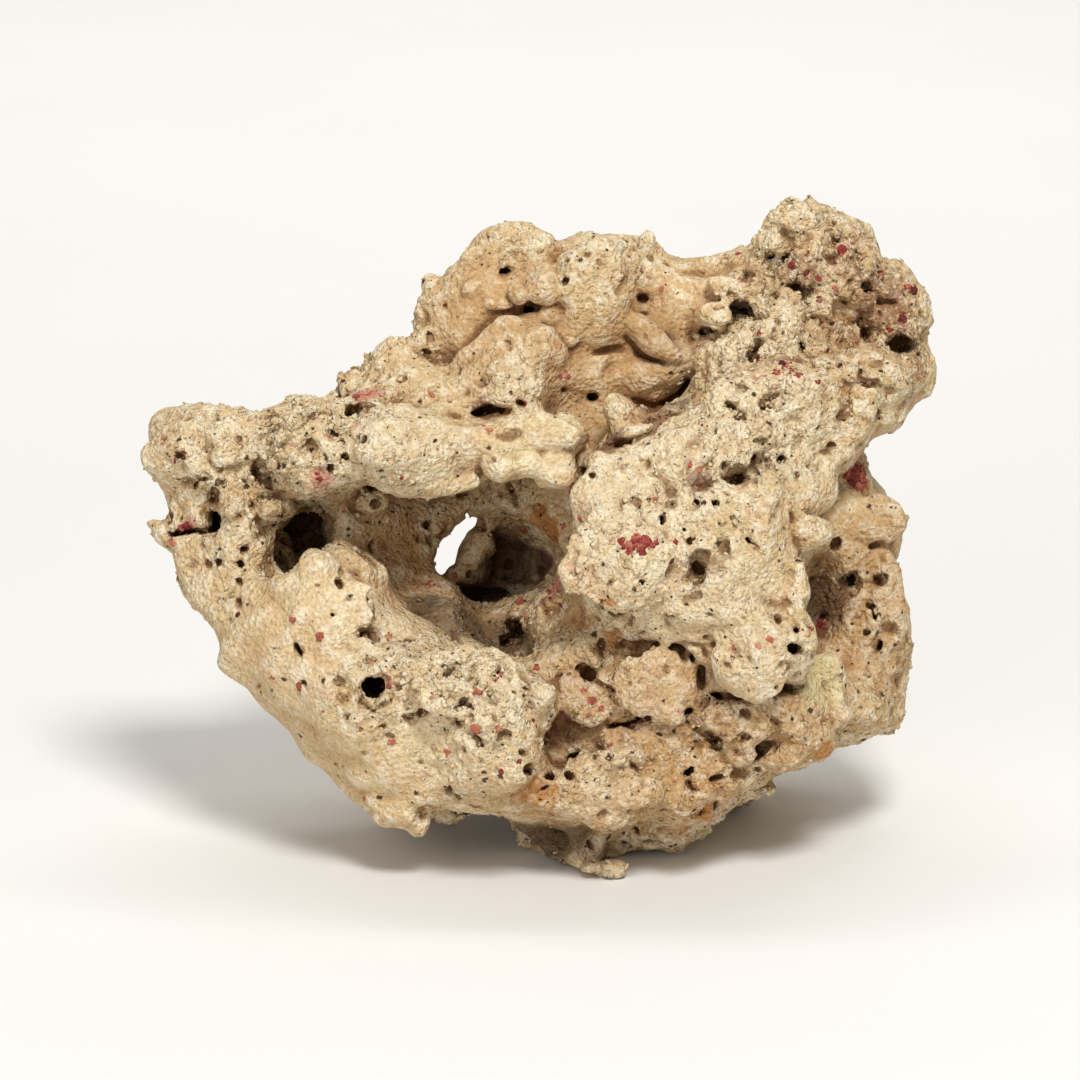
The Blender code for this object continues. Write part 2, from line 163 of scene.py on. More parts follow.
@dataclass
class Field:
    """Signed distances to the rock's skin on a regular grid, negative inside it."""

    voxel: float
    low: np.ndarray
    values: np.ndarray
    warp: list[np.ndarray] = field(default_factory=list)

    @classmethod
    def around(cls, points: np.ndarray, triangles: np.ndarray, voxel: float, margin: int, band: int) -> "Field":
        """Measures the distances round a closed mesh.

        Args:
            points: the mesh's points, in metres.
            triangles: their indices, three a row.
            voxel: the grid's cell side.
            margin: cells left free round the mesh.
            band: how many cells from the skin the distances are kept.

        Returns:
            The field.
        """
        transform = openvdb.createLinearTransform(voxelSize=voxel)
        grid = openvdb.FloatGrid.createLevelSetFromPolygons(
            points, triangles=triangles, transform=transform, halfWidth=float(band)
        )
        low = np.floor(points.min(axis=0) / voxel).astype(int) - margin
        high = np.ceil(points.max(axis=0) / voxel).astype(int) + margin
        values = np.full(tuple(high - low), band * voxel, np.float32)
        grid.copyToArray(values, ijk=tuple(int(i) for i in low))
        return cls(voxel, low, values)

    def noise(self, size: float, seed: int) -> np.ndarray:
        """Smooth random values over the field's grid, changing over a size in metres."""
        return smooth_noise(self.values.shape, self.voxel, size, seed)

    def make_warp(self, sizes: tuple[float, ...], reaches: tuple[float, ...], seed: int) -> None:
        """Prepares the shifts that make every bite and knob uneven.

        Args:
            sizes: the distances over which the shifts change.
            reaches: how far each shifts.
            seed: the first random seed.
        """
        self.warp = []
        for axis in range(3):
            shift = np.zeros(self.values.shape, np.float32)
            for i, (size, reach) in enumerate(zip(sizes, reaches)):
                shift += self.noise(size, seed + 10 * axis + i) * reach
            self.warp.append(shift)

    def window(self, centre: np.ndarray, reach: float) -> tuple[slice, slice, slice] | None:
        """The cells within reach of a point along each axis, or None where there are none."""
        first = np.floor((centre - reach) / self.voxel).astype(int) - self.low
        last = np.ceil((centre + reach) / self.voxel).astype(int) - self.low + 1
        first = np.clip(first, 0, self.values.shape)
        last = np.clip(last, 0, self.values.shape)
        if (last <= first).any():
            return None
        return tuple(slice(int(a), int(b)) for a, b in zip(first, last))

    def offsets(self, cells: tuple[slice, slice, slice], centre: np.ndarray) -> list[np.ndarray]:
        """The way from a point to each cell of a window, with the warp added, as three arrays."""
        made = []
        for axis, part in enumerate(cells):
            line = (np.arange(part.start, part.stop) + self.low[axis]) * self.voxel - centre[axis]
            shape = [1, 1, 1]
            shape[axis] = -1
            made.append(line.astype(np.float32).reshape(shape) + self.warp[axis][cells])
        return made

    def ellipsoid(self, centre: np.ndarray, axes: np.ndarray, radii: np.ndarray, blend: float):
        """The window of an ellipsoid and about how far its cells are from its skin.

        Args:
            centre: its middle, in metres.
            axes: its three unit axes, as rows.
            radii: its half sizes along them.
            blend: how far its effect reaches past its skin.

        Returns:
            The window and the distances, or None where it is off the grid.
        """
        cells = self.window(centre, float(radii.max()) + blend + 4.5 * self.voxel)
        if cells is None:
            return None
        way = self.offsets(cells, centre)
        inner = np.zeros(way[0].shape, np.float32)
        outer = np.zeros(way[0].shape, np.float32)
        for axis, radius in zip(axes, radii):
            along = sum(way[i] * np.float32(axis[i]) for i in range(3))
            inner += (along / radius) ** 2
            outer += (along / radius**2) ** 2
        inner = np.sqrt(inner)
        return cells, inner * (inner - 1.0) / np.maximum(np.sqrt(outer), 1e-6)

    def carve(self, centre: np.ndarray, axes: np.ndarray, radii: np.ndarray, blend: float) -> None:
        """Cuts an ellipsoid from the rock, its rim softened over a blend."""
        found = self.ellipsoid(centre, axes, radii, blend)
        if found is None:
            return
        cells, distance = found
        now = self.values[cells]
        mix = np.maximum(blend - np.abs(now + distance), 0.0) / blend
        self.values[cells] = np.maximum(now, -distance) + mix * mix * blend * 0.25

    def grow(self, centre: np.ndarray, axes: np.ndarray, radii: np.ndarray, blend: float) -> None:
        """Adds an ellipsoid to the rock, its foot softened over a blend."""
        found = self.ellipsoid(centre, axes, radii, blend)
        if found is None:
            return
        cells, distance = found
        now = self.values[cells]
        mix = np.maximum(blend - np.abs(now - distance), 0.0) / blend
        self.values[cells] = np.minimum(now, distance) - mix * mix * blend * 0.25

    def blurred(self, values: np.ndarray, passes: int) -> np.ndarray:
        """Values averaged with their neighbours along each axis, a number of times."""
        for _ in range(passes):
            for axis in range(3):
                padded = np.pad(values, [(1, 1) if i == axis else (0, 0) for i in range(3)], mode="edge")
                before = [slice(None)] * 3
                after = [slice(None)] * 3
                before[axis], after[axis] = slice(0, -2), slice(2, None)
                values = values * 0.5 + (padded[tuple(before)] + padded[tuple(after)]) * 0.25
        return values

    def sample(self, values: np.ndarray, points: np.ndarray, shrink: int = 1) -> np.ndarray:
        """Reads values at points, between cells.

        Args:
            values: an array over the grid, or over one that is coarser by shrink.
            points: the points, in metres.
            shrink: how many of the field's cells a cell of values spans along each axis.

        Returns:
            One value a point.
        """
        at = (points / self.voxel - self.low - (shrink - 1) / 2) / shrink
        at = np.clip(at, 0, np.array(values.shape) - 1.001)
        cell = at.astype(int)
        part = at - cell
        total = np.zeros(len(points))
        for corner in range(8):
            step = [(corner >> axis) & 1 for axis in range(3)]
            weight = np.ones(len(points))
            for axis in range(3):
                weight *= part[:, axis] if step[axis] else 1 - part[:, axis]
            total += weight * values[cell[:, 0] + step[0], cell[:, 1] + step[1], cell[:, 2] + step[2]]
        return total

    def coarse(self, shrink: int) -> np.ndarray:
        """The field averaged over blocks of cells."""
        trimmed = [n - n % shrink for n in self.values.shape]
        blocks = self.values[: trimmed[0], : trimmed[1], : trimmed[2]]
        shape = []
        for n in trimmed:
            shape += [n // shrink, shrink]
        return blocks.reshape(shape).mean(axis=(1, 3, 5))

    def skin(self) -> tuple[np.ndarray, np.ndarray]:
        """The rock's skin as points and the quads and triangles between them, all as triangles."""
        edge = 3 * self.voxel
        grid = openvdb.FloatGrid(edge)
        grid.transform = openvdb.createLinearTransform(voxelSize=self.voxel)
        clipped = np.clip(self.values, -edge, edge)
        grid.copyFromArray(clipped, ijk=tuple(int(i) for i in self.low), tolerance=1e-7)
        points, triangles, quads = grid.convertToPolygons(isovalue=0.0, adaptivity=0.0)
        parts = [triangles.reshape(-1, 3), quads[:, [0, 1, 2]], quads[:, [0, 2, 3]]]
        return points, np.vstack(parts)


def bites(words: str, placed: bool = False) -> list[Bite]:
    """Reads bites from words, to keep long lists short.

    Args:
        words: one bite a line: across, down, its three half sizes in pixels, and perhaps its turn and one more,
            which is how far it is lifted off the skin.
        placed: whether that last number is instead how far out the bite is, wherever the skin is.

    Returns:
        The bites.
    """
    made = []
    for line in words.strip().splitlines():
        numbers = [float(word) for word in line.split()]
        numbers += [0.0] * (7 - len(numbers))
        lift, out = (0.0, numbers[6]) if placed else (numbers[6], None)
        made.append(Bite((numbers[0], numbers[1]), tuple(numbers[2:5]), numbers[5], lift, out))
    return made


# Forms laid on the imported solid: across, down, half sizes across, down and deep, turn and lift.
LUMPS = bites(
    """
    515 246 42 22 20 0 0
    600 285 38 46 18 0 2
    594 320 36 24 18 -12 4
    546 432 40 18 14 12 2
    740 292 32 11 14 8 5
    690 268 30 14 12 0 0
    790 238 34 26 14 0 0
    652 684 44 38 12 0 0
    588 694 27 30 10 0 0
    752 652 42 50 16 0 2
    800 602 8 40 14 -4 6
    822 682 24 26 12 0 2
    718 497 16 13 9 0 1
    610 556 46 50 8 0 0
    610 470 22 12 8 0 0
    455 480 34 14 12 0 0
    385 450 40 22 10 0 0
    372 502 15 12 9 0 3
    430 668 28 13 9 20 2
    480 690 54 40 9 10 0
    350 620 40 36 7 0 0
    430 350 20 18 12 0 0
    434 308 20 30 10 10 0
    506 246 34 18 12 0 0
    606 762 42 12 14 -18 2
    556 802 40 14 12 8 0
    640 790 26 16 12 10 0
    690 800 28 14 12 -20 0
    850 430 36 14 9 -60 0
    780 400 44 18 8 -30 0
    880 520 26 26 9 0 0
    888 600 16 34 9 0 0
    """
)

DENTS = bites(
    """
    505 272 17 3 12 6
    528 310 15 7 20 0
    612 349 22 6 5 -12
    486 416 18 6 28 -8
    503 410 6 9 28 0
    512 434 18 7 10 8
    452 414 14 9 12 30
    655 416 12 8 16 -30
    730 307 30 4 22 8
    718 376 20 16 14 -35
    793 288 9 8 28
    857 284 7 6 22
    863 322 7 8 22
    868 338 7 9 24
    888 302 10 5 18 15
    897 344 15 8 28 -5
    735 472 20 7 24 -8
    703 480 9 6 12
    716 562 18 8 8 5
    697 576 6 6 18
    788 691 12 9 24 20
    770 462 16 5 16 20
    590 475 7 7 26
    640 642 52 4 11 8
    702 674 6 24 14 0
    846 588 12 28 10 10
    """
)

# Forms at a depth of their own, the last number: how far out they are.
MASSES = bites(
    """
    488 520 9 12 30 0 -95
    483 541 15 13 30 0 -98
    477 557 16 13 30 0 -100
    468 574 25 13 30 -20 -102
    262 545 13 38 34 8 20
    276 512 20 14 40 -35 40
    318 573 28 18 34 0 92
    352 566 32 22 34 30 30
    564 726 34 50 28 0 54
    437 312 21 33 24 0 -14
    434 346 22 18 22 0 -6
    640 374 46 28 34 0 -10
    668 366 28 24 30 0 -6
    566 436 20 22 20 0 88
    466 326 30 34 22 10 0
    512 368 58 27 30 -22 44
    500 346 52 22 24 -30 26
    520 352 44 16 20 -22 42
    434 554 9 28 26 12 -72
    398 812 24 22 28 0 68
    416 822 12 16 16 0 62
    380 800 14 12 18 0 78
    170 533 20 11 16 -4 2
    155 525 14 5 9 -12 2
    623 418 13 30 22 -16 64
    640 436 22 12 22 10 78
    842 510 30 22 16 30 -12
    872 560 22 20 14 0 -22
    588 738 20 30 24 20 66
    596 869 21 6 18 6 40
    553 861 15 6 13 0 42
    """,
    placed=True,
)

# Small rounded growths with a sharper foot, on the skin and at a depth of their own.
NODULES = bites(
    """
    545 284 18 20 18 0 7
    518 290 12 13 12 0 6
    557 318 14 17 10 0 4
    567 337 12 11 8 0 4
    552 350 13 10 8 0 3
    580 330 10 10 8 0 4
    651 340 37 14 15 41 -1
    645 242 9 13 12 0 2
    716 316 20 14 16 0 6
    806 536 24 19 18 0 10
    596 300 14 12 8 0 3
    625 285 14 14 8 0 3
    374 503 15 12 9 0 5
    440 668 14 11 8 0 4
    838 708 14 12 12 0 3
    600 462 12 12 8 0 3
    770 492 14 20 9 0 4
    712 496 14 10 8 0 4
    430 345 16 14 12 0 3
    820 345 10 9 8 0 3
    850 372 12 9 8 0 3
    760 330 14 10 8 0 3
    340 420 13 10 8 0 3
    225 455 15 12 8 0 3
    270 430 12 10 7 0 3
    432 288 14 17 9 0 1
    450 322 12 14 8 0 1
    472 254 15 10 8 -30 1
    522 238 17 10 8 10 1
    472 286 12 9 6 0 0
    498 302 14 10 6 0 0
    612 250 18 12 8 0 1
    576 262 14 12 7 0 1
    604 334 17 11 8 0 1
    634 268 12 17 7 0 1
    606 368 16 10 7 10 1
    506 380 17 10 7 -20 1
    """
) + bites(
    """
    557 467 23 24 24 0 100
    529 461 19 18 18 0 106
    503 462 16 17 15 0 113
    572 438 17 20 20 0 100
    """,
    placed=True,
)

HOLLOWS = bites(
    """
    478 594 34 10 46 0 -110
    303 524 17 22 22 20 -74
    290 550 14 26 34 5 -20
    505 645 10 6 44 -20 -24
    516 631 7 12 44 10 -30
    642 350 27 4 13 41 22
    898 577 14 8 26 0 -46
    908 683 16 9 26 0 -44
    554 560 10 8 40 0 -10
    """,
    placed=True,
)


# The pits that the face shows, left to right by region: across, down, half sizes across, down and deep, turn.
PITS = bites(
    """
    374 685 15 14 70
    298 649 4 12 26 -28
    420 756 4 4 14
    330 741 4 4 12
    479 746 5 4 14
    268 477 17 9 26 36
    205 536 14 5 30 4
    266 452 9 4 16
    214 498 7 8 22
    217 523 9 14 70
    190 532 24 4 34 4
    181 452 8 4 18 20
    296 408 9 6 18
    316 416 5 5 14
    353 411 8 14 26 24
    872 612 4 14 22 4
    878 642 3 13 20 12
    889 650 3 10 16 8
    866 690 3 6 12
    886 560 4 4 12
    880 600 3 3 10
    315 590 5 3 10
    341 588 5 6 14
    365 596 4 3 10
    331 617 3 3 12
    334 760 3 3 10
    256 685 3 4 12
    302 685 4 3 12
    358 698 4 4 14
    375 711 4 3 12
    381 728 4 3 12
    410 716 7 5 8
    316 448 3 3 10
    244 550 5 4 16
    242 566 4 5 16
    240 583 4 4 14
    239 600 4 4 14
    504 273 7 3 16
    519 295 4 4 10
    530 311 9 5 18
    615 276 5 5 18
    642 301 6 5 18
    588 400 7 7 30
    612 371 9 5 10 -20
    678 394 15 9 40 -30
    652 409 6 5 20
    649 421 5 4 16
    503 413 6 6 24
    523 405 6 3 18
    563 391 4 4 14
    628 449 9 5 20 -20
    467 364 8 5 14
    586 474 6 8 28
    732 477 20 7 30 -8
    706 481 5 5 16
    715 499 5 4 16
    700 500 4 4 14
    722 553 13 3 14 8
    697 576 6 6 20
    667 522 4 8 18
    641 582 4 4 12
    795 627 4 4 20
    791 649 5 8 22
    787 692 9 9 30
    713 698 8 5 22
    797 288 9 8 28
    859 284 7 6 24
    889 301 6 6 18
    862 320 7 6 20
    868 335 7 9 22
    899 345 17 9 30 -10
    841 338 5 5 16
    925 362 8 9 20
    836 236 6 6 18
    728 406 6 6 20
    741 386 5 5 16
    757 327 6 6 18
    778 338 6 5 16
    749 334 5 5 14
    783 460 6 6 20
    873 616 4 20 12 8
    880 645 5 8 22
    867 633 4 6 18
    852 581 16 9 14 10
    878 585 7 6 22
    578 759 9 6 26
    559 704 6 6 20
    530 773 8 7 24
    549 782 6 5 20
    569 779 6 5 20
    686 771 7 8 22
    721 780 11 4 20
    717 738 8 5 20
    647 783 10 6 22
    776 746 7 5 20
    750 739 6 5 18
    """
)

# The knobs that the face shows, written in the same way.
KNOBS = bites(
    """
    545 700 13 15 14
    """
)

# Rings left by tube dwellers: across, down, half sizes of the ring and its height.
RINGS = bites(
    """
    375 503 13 11 9
    218 568 9 8 7
    612 512 8 8 6
    742 356 8 7 6
    """
)


@dataclass(frozen=True)
class Crack:
    """A groove along the face: the pixels that it follows, its half width and its depth in pixels."""

    path: tuple[tuple[float, float], ...]
    half_width: float
    depth: float


CRACKS = (
    Crack(((609, 725), (625, 722), (640, 717), (653, 714)), 3.0, 16),
    Crack(((674, 652), (686, 656), (693, 666), (694, 688), (692, 707), (671, 711)), 3.0, 16),
    Crack(((576, 664), (590, 676), (602, 684), (616, 688)), 3.0, 14),
    Crack(((590, 652), (615, 648), (645, 652), (672, 650), (700, 642), (720, 640)), 4.0, 9),
    Crack(((716, 694), (745, 697), (772, 690), (800, 690)), 4.0, 18),
    Crack(((590, 444), (612, 448), (640, 440), (664, 420), (690, 404)), 4.0, 20),
    Crack(((735, 518), (744, 526), (752, 535), (758, 541)), 3.0, 16),
    Crack(((700, 330), (722, 322), (745, 318), (768, 318)), 3.5, 18),
)


@dataclass(frozen=True)
class Patch:
    """A soft round region of the skin, where the face shows a pixel."""

    at: tuple[float, float]
    radius: float
    strength: float = 1.0


def patches(words: str) -> list[Patch]:
    """Reads patches from words: across, down, radius in pixels and strength, one a line."""
    return [
        Patch((float(a), float(b)), float(r), float(s))
        for a, b, r, s in (line.split() for line in words.strip().splitlines())
    ]


class Growth(Enum):
    """What colours the stone in patches, painted shade among them."""

    CRIMSON = "crimson"
    ROSE = "rose"
    OCHRE = "ochre"
    LICHEN = "lichen"
    SMOOTH = "smooth"
    PORED = "pored"
    TAN = "tan"
    # Painted shade: darker brown where shade falls.
    DARK = "dark"
    PALE = "pale"
    # Brown stain, and painted shade in dents, pits and crevices.
    BROWN_STAIN_AND_SHADE = "brown_stain_and_shade"


PATCHES: dict[Growth, list[Patch]] = {
    Growth.CRIMSON: patches(
        """
        856 477 18 0.9
        820 624 7 0.7
        838 262 30 0.25
        905 300 24 0.25
        """
    ),
    Growth.ROSE: patches(
        """
        365 393 16 0.8
        578 675 22 0.45
        561 712 26 0.6
        320 479 14 0.7
        187 526 14 0.6
        835 250 40 0.35
        900 310 40 0.3
        780 370 40 0.35
        552 594 26 0.6
        660 700 40 0.35
        430 580 20 0.4
        250 470 30 0.3
        """
    ),
    Growth.OCHRE: patches(
        """
        545 526 24 1.0
        614 643 14 0.8
        612 592 26 0.5
        706 816 14 0.9
        535 791 22 0.7
        824 754 13 0.8
        560 850 40 0.3
        660 830 60 0.35
        590 870 20 0.4
        500 412 30 0.5
        700 770 40 0.4
        800 250 20 0.3
        """
    ),
    Growth.LICHEN: patches(
        """
        812 680 34 0.9
        560 470 22 0.6
        520 460 26 0.5
        450 470 50 0.35
        190 480 40 0.4
        840 560 40 0.35
        330 430 50 0.25
        880 700 30 0.4
        480 300 60 0.3
        """
    ),
    Growth.SMOOTH: patches(
        """
        645 342 34 1.0
        490 320 45 0.7
        590 370 50 0.7
        545 455 36 1.0
        340 590 50 0.6
        290 640 60 0.5
        680 380 60 0.6
        560 470 24 1.0
        380 770 60 0.5
        426 722 32 0.6
        850 520 26 0.6
        848 660 34 0.5
        470 290 40 0.6
        700 300 40 0.5
        """
    ),
    Growth.TAN: patches(
        """
        660 770 110 0.85
        560 800 60 0.9
        790 740 60 0.8
        870 560 60 0.9
        880 660 60 0.8
        840 600 50 0.9
        650 690 60 0.8
        590 700 50 0.8
        490 315 64 0.9
        560 350 50 0.7
        630 370 60 0.8
        700 280 50 0.5
        860 320 60 0.7
        920 370 30 0.7
        400 550 80 0.7
        470 620 60 0.8
        560 600 40 0.7
        230 560 40 0.3
        620 590 40 0.4
        430 320 40 0.5
        600 420 40 0.7
        652 340 54 1.0
        """
    ),
    # Painted shade: the cave, its pocket and floor, the underside below the lip, and shaded hollows, cracks and the
    # finger.
    Growth.DARK: patches(
        """
        303 535 30 1.0
        284 560 16 1.0
        450 618 40 0.7
        500 640 30 0.75
        412 590 30 0.35
        510 560 45 1.0
        480 580 40 1.0
        545 565 22 0.9
        470 600 30 0.6
        512 636 18 0.9
        678 397 20 0.7
        608 444 24 0.6
        486 417 18 0.6
        822 600 34 0.8
        654 340 44 0.35
        550 836 34 0.9
        526 832 24 0.8
        578 838 24 0.8
        560 742 20 0.45
        470 628 36 0.85
        425 608 28 0.85
        398 586 24 0.6
        720 375 18 0.4
        540 850 34 0.5
        """
    ),
    Growth.PALE: patches(
        """
        640 520 70 1.0
        700 440 70 1.0
        620 470 40 0.8
        760 400 60 0.9
        800 440 50 0.8
        620 590 40 0.6
        740 600 50 0.9
        760 660 40 0.8
        480 700 60 0.9
        430 740 60 0.7
        370 450 60 0.8
        300 450 50 0.5
        220 440 60 0.5
        520 385 30 0.8
        545 455 40 0.8
        600 250 40 0.4
        722 352 34 0.9
        770 340 40 0.8
        330 600 50 0.5
        240 540 40 0.5
        440 450 40 0.8
        690 370 30 0.7
        600 770 40 0.6
        585 800 34 0.5
        650 700 40 0.5
        540 790 20 0.5
        380 640 50 0.7
        300 690 40 0.5
        400 770 40 0.5
        660 620 40 0.8
        596 869 26 0.9
        556 860 18 0.7
        """
    ),
    # Brown stain on the knob at the upper right, and painted shade in dents, pits and the crevice basin.
    Growth.BROWN_STAIN_AND_SHADE: patches(
        """
        800 275 34 0.55
        850 262 34 0.48
        885 300 44 0.62
        908 330 40 0.5
        845 232 30 0.5
        905 345 30 0.5
        860 330 34 0.45
        925 365 20 0.5
        790 372 20 0.4
        700 480 16 0.9
        697 578 14 0.7
        745 472 18 0.7
        715 562 18 0.6
        552 594 24 0.9
        486 417 24 0.8
        655 416 20 0.9
        605 446 24 0.9
        578 675 20 0.5
        856 477 26 0.5
        840 600 30 0.5
        700 680 20 0.6
        640 720 40 0.4
        710 720 40 0.5
        564 742 24 0.5
        400 575 30 0.4
        720 375 24 0.6
        530 310 14 0.6
        270 475 18 0.5
        300 650 10 0.5
        """
    ),
    Growth.PORED: patches(
        """
        840 300 90 1.0
        700 500 70 0.8
        780 420 70 0.6
        620 790 70 0.9
        720 760 60 0.9
        220 470 60 0.45
        330 440 60 0.4
        398 820 28 0.6
        520 372 40 0.6
        470 260 40 0.4
        470 310 40 0.4
        610 610 40 0.4
        480 700 70 0.5
        330 690 60 0.5
        552 596 26 1.0
        870 600 60 0.5
        600 240 40 0.4
        520 250 40 0.6
        640 560 60 0.6
        640 610 60 0.6
        760 600 60 0.5
        740 655 44 0.5
        435 315 32 0.9
        440 600 40 0.6
        350 600 50 0.3
        375 700 34 0.5
        806 536 24 0.4
        200 600 40 0.5
        912 340 48 1.0
        890 390 40 0.7
        830 240 44 0.8
        250 700 40 0.5
        300 760 40 0.4
        """
    ),
}


@dataclass
class RockSkin:
    """The rock's skin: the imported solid's form, gnawed, pitted and knobbed at the scale of a few millimetres."""

    voxel: float = 1.0 * MM
    band: int = 9
    margin: int = 9
    soften_passes: int = 9
    swells: tuple[tuple[float, float, int], ...] = (
        (17.0 * MM, 1.0 * MM, 11),
        (8.5 * MM, 0.75 * MM, 12),
        (4.2 * MM, 0.55 * MM, 13),
        (2.4 * MM, 0.32 * MM, 14),
    )
    gnaws: tuple[tuple[float, float, float, int], ...] = (
        (5.5 * MM, 2.1, 3.2 * MM, 21),
        (3.0 * MM, 1.85, 2.0 * MM, 22),
    )
    patchiness: tuple[float, float, int] = (34.0 * MM, 0.28, 31)
    thin_passes: int = 6
    thinnest: float = 0.9 * MM
    pits_scattered: int = 1500
    knobs_scattered: int = 450
    triangles: int = 197000
    face_care: float = 2.0e-4
    most_spared: float = 0.95
    settle_rounds: int = 5

    def build(self) -> bpy.types.Object:
        """Makes the skin as a mesh object.

        Returns:
            The object, riding on nothing yet.
        """
        points, triangles = self.cad_mesh()
        self.cad_tree = BVHTree.FromPolygons(points.tolist(), triangles.tolist())
        self.axes = np.array([FACE.turn.col[0], FACE.turn.col[2], FACE.turn.col[1]])
        self.form = Field.around(points, triangles, self.voxel, self.margin, self.band)
        self.form.make_warp((11.0 * MM, 4.5 * MM), (0.8 * MM, 0.55 * MM), 40)
        self.form.values = self.form.blurred(self.form.values, self.soften_passes)
        self.regions = {growth: self.region(PATCHES[growth]) for growth in Growth}
        for mass in MASSES + LUMPS:
            self.set_bite(mass, True, 2.6 * MM)
        for hollow in HOLLOWS + DENTS:
            self.set_bite(hollow, False, 1.6 * MM)
        self.roughness = self.uneven()
        self.roughen()
        self.mark()
        self.scatter()
        self.gnaw()
        self.prune()
        self.flatten_feet()
        return self.mesh_object()

    def cad_mesh(self) -> tuple[np.ndarray, np.ndarray]:
        """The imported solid's points, each once, and its triangles."""
        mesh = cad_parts[ROCK_NODE].data
        mesh.calc_loop_triangles()
        points = np.empty(len(mesh.vertices) * 3, np.float32)
        mesh.vertices.foreach_get("co", points)
        corners = np.empty(len(mesh.loop_triangles) * 3, np.int32)
        mesh.loop_triangles.foreach_get("vertices", corners)
        points, index = np.unique(np.round(points.reshape(-1, 3), 7), axis=0, return_inverse=True)
        triangles = index.reshape(-1)[corners.reshape(-1, 3)]
        return points.astype(np.float32), triangles.astype(np.uint32)

    def on_skin(self, across: float, down: float) -> Vector | None:
        """The point of the solid's skin that a pixel shows, or None beside the rock."""
        sight = (FACE.place(across, down) - FACE.eye).normalized()
        return self.cad_tree.ray_cast(FACE.eye, sight)[0]

    def region(self, places: list[Patch]) -> list[tuple[np.ndarray, float, float]]:
        """Patches as points on the skin, with their radius in metres and strength."""
        found = []
        for patch in places:
            point = self.on_skin(*patch.at)
            if point is not None:
                found.append((np.array(point), patch.radius * FACE.pixel, patch.strength))
        return found

    def uneven(self) -> np.ndarray:
        """How rough each part of the rock is, about 1, less where it is smooth."""
        size, spread, seed = self.patchiness
        rough = 0.85 + self.form.noise(size, seed) * np.float32(spread)
        for growth, change in ((Growth.PORED, 0.55), (Growth.SMOOTH, -0.6)):
            for centre, radius, strength in self.regions[growth]:
                reach = radius * 1.5 + 5 * MM
                cells = self.form.window(centre, reach)
                way = self.form.offsets(cells, centre)
                away = np.sqrt(way[0] ** 2 + way[1] ** 2 + way[2] ** 2) / radius
                rough[cells] += change * strength * np.clip(1.5 - away, 0.0, 1.0)
        return np.clip(rough, 0.25, 1.6)

    def roughen(self) -> None:
        """Raises rounded swellings with creases between them, at a few scales."""
        for size, height, seed in self.swells:
            noise = self.form.noise(size, seed)
            self.form.values -= (np.abs(noise) - 0.8) * np.float32(height) * self.roughness ** np.float32(1.5)

    def mark(self) -> None:
        """Sets the nodules, knobs, rings, pits and cracks that the face shows."""
        for nodule in NODULES:
            self.set_bite(nodule, True, 0.7 * MM)
        for knob in KNOBS:
            self.set_bite(knob, True, 1.6 * MM)
        for ring in RINGS:
            self.set_bite(ring, True, 1.0 * MM)
            across, down, deep = (size * 0.62 for size in ring.radii)
            self.set_bite(Bite(ring.at, (across, down, deep * 2.0), ring.turn), False, 0.5 * MM)
        for pit in PITS:
            self.set_bite(pit, False, 0.7 * MM)
        for crack in CRACKS:
            self.cut_crack(crack)

    def set_bite(self, bite: Bite, grows: bool, blend: float) -> None:
        """Adds or cuts one ellipsoid where the face shows its pixel.

        Args:
            bite: the ellipsoid.
            grows: whether it is added.
            blend: over what distance it runs into the rock.
        """
        point = self.on_skin(*bite.at) if bite.out is None else FACE.place(*bite.at, bite.out)
        if point is None:
            return
        point = np.array(point) - self.axes[2] * bite.lift * FACE.pixel
        turn = math.radians(bite.turn)
        across = self.axes[0] * math.cos(turn) - self.axes[1] * math.sin(turn)
        up = self.axes[0] * math.sin(turn) + self.axes[1] * math.cos(turn)
        turned = np.array([across, up, self.axes[2]])
        radii = np.array(bite.radii) * FACE.pixel
        change = self.form.grow if grows else self.form.carve
        change(point, turned, radii, blend)

    def cut_crack(self, crack: Crack) -> None:
        """Cuts a groove as a row of narrow ellipsoids."""
        for start, end in zip(crack.path, crack.path[1:]):
            length = math.dist(start, end)
            steps = max(2, round(length / crack.half_width))
            turn = math.degrees(math.atan2(end[1] - start[1], end[0] - start[0]))
            for i in range(steps):
                t = (i + 0.5) / steps
                at = (start[0] + (end[0] - start[0]) * t, start[1] + (end[1] - start[1]) * t)
                self.set_bite(Bite(at, (length / steps, crack.half_width, crack.depth), turn), False, 0.7 * MM)

    def scatter(self) -> None:
        """Scatters smaller pits and knobs all over the rock, more where it is rough."""
        points, _ = self.form.skin()
        chooser = np.random.default_rng(77)
        points = points[chooser.integers(0, len(points), 4 * (self.pits_scattered + self.knobs_scattered))]
        rough = self.form.sample(self.roughness, points)
        points = points[chooser.random(len(points)) < (rough - 0.45) * 0.8]
        points = points[: self.pits_scattered + self.knobs_scattered]
        for i, (point, normal) in enumerate(zip(points, self.normals(points))):
            side = np.cross(normal, chooser.standard_normal(3))
            side /= np.linalg.norm(side)
            axes = np.array([side, np.cross(normal, side), normal])
            small = chooser.random() ** 2.5
            if i < self.knobs_scattered:
                radius = (0.9 + 2.0 * small) * MM
                radii = radius * np.array([1.0, chooser.uniform(0.6, 1.0), chooser.uniform(0.5, 0.9)])
                self.form.grow(point - normal * radius * 0.3, axes, radii, 1.2 * MM)
            else:
                radius = (0.7 + 1.4 * small) * MM
                radii = radius * np.array([chooser.uniform(1.0, 1.8), chooser.uniform(0.6, 1.0), 2.0])
                self.form.carve(point, axes, radii, 0.4 * MM)

    def normals(self, points: np.ndarray) -> np.ndarray:
        """The outward directions of the skin at points."""
        step = self.voxel * 1.5
        slope = []
        for axis in range(3):
            shift = np.zeros(3)
            shift[axis] = step
            ahead = self.form.sample(self.form.values, points + shift)
            slope.append(ahead - self.form.sample(self.form.values, points - shift))
        slope = np.stack(slope, axis=1)
        return slope / np.maximum(np.linalg.norm(slope, axis=1, keepdims=True), 1e-9)

